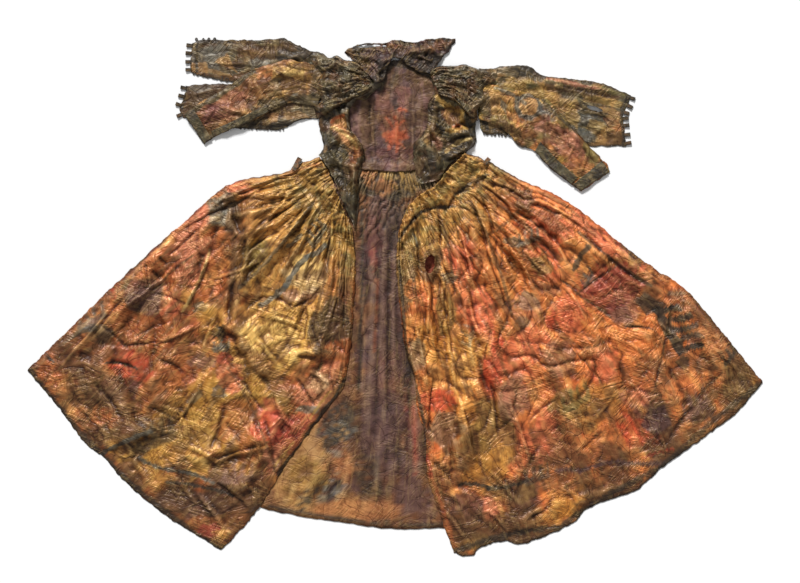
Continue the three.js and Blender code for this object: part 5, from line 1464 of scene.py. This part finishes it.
        ("brown", 255, 390, 500, 208, 8, 6, 0.7, 0.5), ("brown", 285, 390, 545, 264, 10, 6, 0.7, 0.5),
        ("charcoal", 12, 120, 36, -170, 2, 5, 0.5, 0.65),
        ("charcoal", 36, -170, 100, -440, 4, 5, 0.5, 0.65),
    ],
    "patches": [
        ("crimson", 0.55, 9, (605, 15), (625, -20), (705, -60), (785, -5), (830, 50), (735, 105), (665, 60)),
        ("charcoal", 0.7, 8, (790, -10), (830, -60), (895, -25), (820, 20)),
        ("plum", 0.75, 7, (742, -378), (862, -455), (915, -420), (862, -300), (835, -365)),
        ("peach", 0.35, 9, (900, -60), (880, -190), (760, -90), (880, -20)),
        ("coral", 0.4, 9, (560, 250), (845, 60), (700, 100), (540, 215)),
        ("orange", 0.4, 9, (760, -110), (870, -190), (840, -290), (700, -200)),
    ],
    "leaves": [
        ("charcoal", 905, -110, 300, 180, 5, 0.9), ("charcoal", 1110, -200, 50, 70, 3, 0.8),
        ("slate", 640, 60, 60, 60, 3, 0.6),
        ("slate", 440, 185, 20, 80, 4, 0.6), ("olive", 600, -350, 30, 110, 4, 0.6),
        ("slate", 250, -130, 80, 70, 3, 0.5),
        ("mauve", 1000, -370, 40, 110, 4, 0.6), ("charcoal", 470, -600, 20, 90, 4, 0.5),
    ],
    "rips": [(115, 110, 62, 34, 80)],
}


def makeFront(node, s, seed):
    def height(u, v, x, y):
        return frontHeight(s, u, v, x, y, seed)

    def dye(u, v, x, y):
        colour = streaked(ground(x, y, s["ground"], 130, seed + 20), x, y, s["bands"], seed + 30)
        colour = stained(colour, x, y, s["stains"], seed + 40)
        run = layered(u * 760, v * 170, 30, seed + 90, 4)  # marks that follow the fall of the cloth
        colour = blend(colour, "umber", 0.55 * smooth(run * 2.2 - 0.35))
        colour = blend(colour, "paleGold", 0.3 * smooth(-run * 2.2 - 0.5))
        colour = blend(colour, "umber", 0.4 * smooth(layered(x, y, 52, seed + 80, 5) * 2.4 - 0.5))
        colour = colour * np.array(s["tint"])
        band = smooth((0.22 - v) / 0.13)
        colour = blend(colour, "gold", 0.7 * band)
        colour = blend(colour, "olive", 0.6 * band * smooth(layered(x, y, 34, seed + 81, 4) * 2))
        colour = blend(colour, "umber", 0.4 * band * smooth(layered(x, y, 22, seed + 82, 3) * 2 - 0.3))
        soiled = smooth((v - 0.68) / 0.22) * smooth(0.6 + 1.1 * layered(x, y, 120, seed + 83, 5))
        colour = blend(colour, "umber", 0.75 * soiled)
        colour = patched(colour, x, y, s["patches"], seed + 50)
        colour = streaked(colour, x, y, s["streaks"], seed + 60)
        colour = leafMark(colour, x, y, s["leaves"], seed + 55)
        return blend(colour, "charcoal", 0.6 * (1 - smooth((1 - v) / 0.012)))

    return layCloth(node, s, patchOf(s), height, dye, waistward=0.2)


skirtRight = makeFront("skirt_front_right", skirtRightSheet, 500)
declare(skirtRight, "silk_skirt", skirtRightSheet)
print("first skirt front laid")


# bodice fronts

bodiceLeftSheet = {
    "name": "bodiceFrontLeft", "lift": 2, "flat": (0.26, 0.42), "area": 0.08,
    "columns": 112, "rows": 120, "opening": "left",
    "start": [(115, 735), (180, 750), (275, 745)],
    "end": [(85, 370), (125, 380), (155, 395), (175, 430), (225, 475)],
    "left": [(115, 735), (130, 680), (110, 640), (110, 595), (90, 535), (65, 515), (60, 475), (65, 425),
             (85, 370)],
    "right": [(275, 745), (275, 650), (265, 560), (270, 520), (255, 495), (225, 475)],
    "folds": [
        (125, 700, 100, 530, -10, 20, 13), (150, 670, 250, 560, 22, 24, 18), (170, 520, 270, 545, 4, 22, 16),
        (250, 600, 180, 540, -10, 20, 11), (150, 460, 265, 515, -8, 24, 16), (80, 520, 150, 400, 14, 26, 13),
        (120, 590, 170, 470, -8, 22, 12), (150, 600, 220, 620, 8, 18, -9, 0.2),
        (160, 640, 150, 560, 8, 12, 6, 0.6),
        (200, 700, 230, 640, 6, 12, 6, 0.6), (230, 560, 260, 500, 4, 10, 6, 0.6),
        (180, 510, 250, 470, 6, 10, -6, 0.6),
        (90, 470, 120, 390, 4, 10, 5, 0.6), (110, 560, 120, 480, 4, 8, -5, 0.7),
        (200, 580, 250, 540, 4, 9, 5, 0.6)],
    "stains": [
        ("brown", 184, 604, 36, 30, -30, 0.5, 0.8), ("tan", 170, 610, 14, 16, 30, 0.5, 0.6),
        ("paleGold", 160, 640, 26, 9, -25, 0.5, 0.8),
        ("rose", 165, 705, 30, 28, 0, 0.5, 0.75), ("paleGold", 178, 712, 16, 12, 0, 0.5, 0.7),
        ("charcoal", 220, 492, 48, 22, 10, 0.5, 0.85),
        ("tan", 120, 520, 22, 30, 20, 0.6, 0.65), ("flame", 205, 562, 18, 10, 0, 0.6, 0.65),
        ("tan", 205, 550, 24, 9, 0, 0.6, 0.6),
        ("taupe", 140, 506, 30, 22, 20, 0.6, 0.7), ("mauve", 130, 520, 16, 10, 20, 0.6, 0.5),
        ("black", 150, 560, 16, 20, 0, 0.5, 0.6),
        ("tan", 258, 600, 8, 22, 0, 0.6, 0.6), ("umber", 140, 460, 14, 16, 0, 0.6, 0.5)],
    "patches": [("taupe", 0.6, 10, (112, 545), (110, 470), (150, 455), (152, 520))],
    "streaks": [
        # the three gold rows paint highlight along a fold crest; the charcoal row from (165, 465) paints
        # shade on the lower flank of a fold and the paleGold row beside it paints highlight on its upper
        # flank
        ("charcoal", 120, 620, 160, 560, 8, 10, 0.8, 0.7), ("gold", 140, 660, 222, 612, -10, 8, 0.7, 0.8),
        ("gold", 222, 612, 228, 562, -6, 8, 0.7, 0.75),
        ("gold", 228, 562, 170, 550, 4, 7, 0.7, 0.7), ("charcoal", 165, 465, 255, 500, 6, 14, 0.8, 0.8),
        ("paleGold", 170, 485, 252, 525, 6, 7, 0.7, 0.7),
        ("rose", 120, 530, 145, 505, 2, 13, 0.9, 0.6), ("charcoal", 100, 400, 130, 470, 4, 12, 0.9, 0.6)],
}
bodiceRightSheet = {
    "name": "bodiceFrontRight", "lift": 1.5, "flat": (0.2, 0.56), "area": 0.07,
    "columns": 100, "rows": 140, "opening": "right",
    "start": [(-215, 765), (-130, 745), (-35, 705)],
    "end": [(-250, 470), (-205, 400), (-170, 315), (-130, 225)],
    "left": [(-215, 765), (-240, 685), (-250, 610), (-250, 555), (-235, 505), (-250, 470)],
    "right": [(-35, 705), (-65, 685), (-95, 655), (-130, 650), (-145, 630), (-150, 590), (-140, 545),
              (-115, 515), (-100, 475), (-110, 435), (-120, 390), (-120, 305), (-130, 225)],
    "folds": [
        (-60, 690, -150, 560, 16, 22, 16), (-160, 640, -110, 480, 8, 22, 14),
        (-230, 590, -160, 400, -10, 24, 13),
        (-240, 520, -190, 440, 4, 18, 10), (-150, 460, -140, 280, 6, 18, 9),
        (-205, 700, -130, 690, 10, 24, 10),
        (-200, 640, -170, 560, 6, 10, -7, 0.6), (-220, 660, -190, 600, 4, 9, 6, 0.6),
        (-190, 560, -130, 530, 4, 9, 6, 0.6),
        (-180, 500, -120, 460, 4, 9, -6, 0.6), (-220, 500, -180, 520, 4, 9, 6, 0.6),
        (-130, 430, -150, 330, 3, 8, 5, 0.7),
        (-110, 660, -130, 600, 4, 8, 5, 0.7), (-170, 420, -160, 330, 3, 7, -4, 0.8)],
    "stains": [
        ("rust", -185, 570, 26, 30, 20, 0.5, 0.6), ("taupe", -195, 440, 16, 12, 0, 0.5, 0.6),
        ("charcoal", -215, 620, 30, 46, 0, 0.6, 0.6), ("rust", -130, 480, 18, 34, 0, 0.6, 0.65),
        ("gold", -190, 650, 8, 10, 0, 0.4, 0.8),
        ("brown", -150, 420, 20, 40, 0, 0.6, 0.4), ("moss", -140, 320, 20, 60, 0, 0.6, 0.6),
        ("tan", -230, 490, 9, 12, 0, 0.6, 0.5)],
    "patches": [
        ("tan", 0.8, 16, (-215, 585), (-200, 555), (-155, 480), (-115, 500), (-135, 570), (-160, 620)),
        # the peach patch paints highlight on the folds there
        ("peach", 0.7, 12, (-200, 565), (-170, 515), (-150, 500), (-150, 540), (-180, 575))],
    "streaks": [
        # the two ash rows paint highlight along the rolled front edge and the paleGold row from (-205, 560)
        # paints a highlight
        ("charcoal", -180, 640, -150, 560, 6, 9, 0.8, 0.7), ("ash", -190, 605, -140, 662, -8, 8, 0.8, 0.7),
        ("ash", -140, 662, -62, 700, -6, 8, 0.8, 0.7),
        ("flame", -210, 580, -170, 600, 4, 6, 0.7, 0.6), ("paleGold", -205, 560, -125, 495, 8, 6, 0.8, 0.75),
        ("charcoal", -150, 600, -140, 540, 4, 8, 0.8, 0.7),
        ("charcoal", -200, 440, -150, 330, 6, 14, 0.9, 0.6)],
}


def makeBodiceFront(node, s, seed):
    def height(u, v, x, y):
        opening = 1 - u if s["opening"] == "right" else u
        rolled = 9 * np.exp(-((opening - 0.12) / 0.08) ** 2)
        rough = rolled + 9 * crumple(x, y, 70, seed) + 4 * crumple(x, y, 34, seed + 1)
        rough = rough + 0.8 * crumple(x, y, 16, seed + 2) + 4
        return s["lift"] + settled(u, v, 0.06, 0.04) * (1.2 * foldHeight(s["folds"], x, y, seed + 3) + rough)

    def dye(u, v, x, y):
        colour = ground(x, y, ("moss", "charcoal", "umber", "moss"), 60, seed + 4)
        colour = stained(colour, x, y, s["stains"], seed + 5)
        colour = blend(colour, "charcoal", 0.5 * smooth(layered(x, y, 44, seed + 7, 4) * 2 - 0.3))
        colour = streaked(patched(colour, x, y, s["patches"], seed + 6), x, y, s["streaks"], seed + 9)
        # painted highlight: the rolled opening edge is blended lighter taupe
        opening = 1 - u if s["opening"] == "right" else u
        rolled = smooth((0.11 - np.abs(opening - 0.08)) / 0.07)
        return blend(colour, "taupe", 0.5 * rolled * smooth(0.4 + layered(x, y, 60, seed + 8)))

    return layCloth(node, s, patchOf(s), height, dye)


bodiceLeft = makeBodiceFront("bodice_front_left", bodiceLeftSheet, 600)
declare(bodiceLeft, "silk_bodice", bodiceLeftSheet)

skirtLeft = makeFront("skirt_front_left", skirtLeftSheet, 700)
declare(skirtLeft, "silk_skirt", skirtLeftSheet)
print("second skirt front laid")

bodiceRight = makeBodiceFront("bodice_front_right", bodiceRightSheet, 640)
declare(bodiceRight, "silk_bodice", bodiceRightSheet)
print("bodice fronts laid")


# collar and shoulder wings

collarSheet = {
    "name": "collar", "flat": (0.4, 0.16), "area": 0.045, "columns": 130, "rows": 56,
    "start": [(-165, 810), (-145, 825), (-125, 835), (-100, 840), (-40, 840), (5, 850), (45, 845), (75, 845),
              (110, 855), (150, 855), (200, 855)],
    "end": [(-60, 700), (-35, 720), (-30, 745), (-15, 775), (-5, 790), (20, 785), (45, 765), (80, 745),
            (115, 740)],
    "left": [(-165, 810), (-125, 770), (-95, 740), (-60, 700)],
    "right": [(200, 855), (195, 840), (180, 815), (160, 795), (140, 765), (115, 740)],
    "folds": [
        (-130, 800, -40, 770, 8, 20, 8), (30, 800, 150, 820, 8, 22, 10), (-60, 720, -20, 800, 6, 18, 8),
        (-120, 815, -20, 812, 4, 9, 5, 0.6), (-90, 780, -50, 730, 3, 9, 5, 0.6),
        (20, 835, 120, 840, 3, 9, -4, 0.7),
        (60, 800, 130, 770, 5, 10, 6, 0.6), (0, 830, -10, 795, 2, 8, 5, 0.6),
        (90, 850, 140, 800, 4, 9, 5, 0.6),
        (150, 850, 170, 800, 3, 9, 5, 0.5), (40, 820, 60, 780, 3, 8, -4, 0.7)],
    "stains": [
        ("wine", 20, 815, 60, 18, 0, 0.6, 0.4), ("plum", -60, 790, 50, 24, -20, 0.7, 0.6),
        ("black", 120, 780, 30, 26, 0, 0.7, 0.6),
        ("brown", 150, 835, 34, 16, 10, 0.6, 0.6), ("rust", -10, 830, 24, 8, 0, 0.6, 0.35),
        ("black", -40, 750, 24, 30, 0, 0.7, 0.6)],
    "rips": [(-90, 830, 84, 9, 3), (-35, 830, 14, 6, 0)],
}


def makeCollar():
    s = collarSheet

    def height(u, v, x, y):
        rough = 3.6 * crumple(x, y, 36, 81) + 2.4 * crumple(x, y, 17, 82) + 3
        folds = 1.2 * foldHeight(s["folds"], x, y, 83)
        return 8 * smooth(v / 0.8) + settled(u, v, 0.04, 0.06) * (folds + rough)

    def dye(u, v, x, y):
        colour = ground(x, y, ("plum", "charcoal", "umber", "charcoal"), 44, 84)
        colour = stained(colour, x, y, s["stains"], 85)
        return blend(colour, "charcoal", 0.6 * smooth((v - 0.5) / 0.5))

    return layCloth("collar", s, patchOf(s), height, dye)


declare(makeCollar(), "silk_collar", collarSheet)

wingNotes = {
    "shoulder_wing_right": {
        "name": "shoulderWingRight", "flat": (0.3, 0.19), "area": 0.045, "columns": 100, "rows": 88,
        "start": [(-95, 740), (-80, 710), (-75, 685)],
        "end": [(-255, 810), (-272, 775), (-238, 735), (-262, 700), (-240, 655), (-266, 625), (-255, 590)],
        "left": [(-95, 740), (-125, 775), (-165, 785), (-190, 800), (-215, 790), (-255, 810)],
        "right": [(-75, 685), (-115, 660), (-165, 640), (-215, 610), (-255, 590)]},
    "shoulder_wing_left": {
        "name": "shoulderWingLeft", "flat": (0.3, 0.19), "area": 0.045, "columns": 100, "rows": 88,
        "start": [(115, 740), (130, 700), (150, 665)],
        "end": [(315, 750), (330, 715), (290, 690), (300, 650), (272, 620), (275, 580)],
        "left": [(115, 740), (140, 760), (200, 765), (230, 770), (275, 755), (315, 750)],
        "right": [(150, 665), (200, 640), (240, 600), (275, 580)]},
}
wingPleats = {
    "lift": [(0, 1), (0.3, 8), (0.7, 8), (1, 1)],
    "deep": [(0, 4), (0.3, 8), (0.7, 8), (1, 4)],
    "fineCount": 15, "broadCount": 6,
}


def makeWing(node, s, seed):
    def height(u, v, x, y):
        waves = (0.45 * pleats(u, v, wingPleats["fineCount"], seed, 1.8)
                 + 0.7 * pleats(u, v, wingPleats["broadCount"], seed + 1, 1.5))
        gathered = profile(wingPleats["lift"], v) + profile(wingPleats["deep"], v) * waves
        rough = 5 * crumple(u * 190, v * 90, 22, seed + 2) + 2.4 * crumple(x, y, 22, seed + 3) + 4
        return settled(u, v, 0.05, 0.08) * (gathered + rough)

    def dye(u, v, x, y):
        colour = ground(x, y, ("umber", "charcoal", "taupe", "moss"), 34, seed + 4)
        colour = blend(colour, "ochre", 0.3 * smooth(layered(u * 190, v * 70, 22, seed + 5, 3) * 2.4 - 0.9))
        return blend(colour, "charcoal", 0.6 * smooth(layered(x, y, 30, seed + 6, 3) * 1.8 - 0.2))

    return layCloth(node, s, patchOf(s), height, dye)


for k, (node, s) in enumerate(wingNotes.items()):
    declare(makeWing(node, s, 860 + 20 * k), "silk_bodice", s)
print("collar and wings laid")


# waist loops, flat strips at the sides of the waist

waistNotes = {
    "waist_loop_right": {
        "name": "waistLoopRight", "at": (-335, 420), "length": 46, "width": 17, "turn": 62, "columns": 14,
        "rows": 36},
    "waist_loop_left": {
        "name": "waistLoopLeft", "at": (295, 440), "length": 26, "width": 15, "turn": 50, "columns": 14,
        "rows": 36},
}


def makeWaistLoop(node, s, seed):
    s = dict(s, flat=(s["width"] * mm, s["length"] * mm))
    a = math.radians(s["turn"])
    out, side = np.array([math.cos(a), math.sin(a)]), np.array([-math.sin(a), math.cos(a)])

    def patch(u, v):
        onward, sideways = (v * s["length"])[..., None], ((u - 0.5) * s["width"])[..., None]
        return np.array(s["at"]) + out * onward + side * sideways

    def height(u, v, x, y):
        return 1.6 * np.sin(math.pi * v) * (0.6 + 0.4 * np.cos(6 * u)) + 0.8 * np.abs(np.sin(3 * math.pi * u))

    def dye(u, v, x, y):
        return ground(x, y, ("charcoal", "umber", "brown"), 10, seed)

    return layCloth(node, s, patch, height, dye, wobble=cloth["stripWobble"])


for k, (node, s) in enumerate(waistNotes.items()):
    cut = {"flat": (round(1.1 * s["width"] * mm, 4), round(1.1 * s["length"] * mm, 4))}
    declare(makeWaistLoop(node, s, 930 + k), "silk_loop", cut)
print("waist loops laid")


# floor, light and camera

stageNotes = {
    "floor": 12.0, "floorLevel": -0.0006, "floorShade": 0.92,
    "sun": 4.3, "sunSoft": 11, "elevation": 34, "azimuth": 106, "sky": 0.36,
    "camera": (0.0165, 0.0198, 6.243), "lens": 85, "sensor": 36,
}


def makeFloor():
    bpy.ops.object.select_all(action="DESELECT")
    bpy.ops.mesh.primitive_plane_add(size=stageNotes["floor"], location=(0, 0, stageNotes["floorLevel"]))
    floor = bpy.context.object
    floor.name = "floor"
    net = Net("paleFloor")
    net.shader.inputs["Base Color"].default_value = (*[stageNotes["floorShade"]] * 3, 1)
    net.shader.inputs["Roughness"].default_value = 0.9
    floor.data.materials.append(net.material)


def makeLight():
    bpy.ops.object.light_add(type="SUN", location=(0, 2, 3))
    sun = bpy.context.object
    sun.data.energy, sun.data.angle = stageNotes["sun"], math.radians(stageNotes["sunSoft"])
    sun.rotation_euler = (0, math.radians(90 - stageNotes["elevation"]), math.radians(stageNotes["azimuth"]))
    world = bpy.data.worlds.new("studio")
    bpy.context.scene.world = world
    world.use_nodes = True
    world.node_tree.nodes["Background"].inputs["Color"].default_value = (1, 1, 1, 1)
    world.node_tree.nodes["Background"].inputs["Strength"].default_value = stageNotes["sky"]


def makeCamera():  # straight down, framing 2.64 m across
    bpy.ops.object.camera_add(location=stageNotes["camera"], rotation=(0, 0, 0))
    camera = bpy.context.object
    camera.data.lens, camera.data.sensor_width = stageNotes["lens"], stageNotes["sensor"]
    camera.data.clip_end = 50
    bpy.context.scene.camera = camera
    bpy.context.scene.view_settings.view_transform = "Standard"


makeFloor()
makeLight()
makeCamera()
print("stage set")
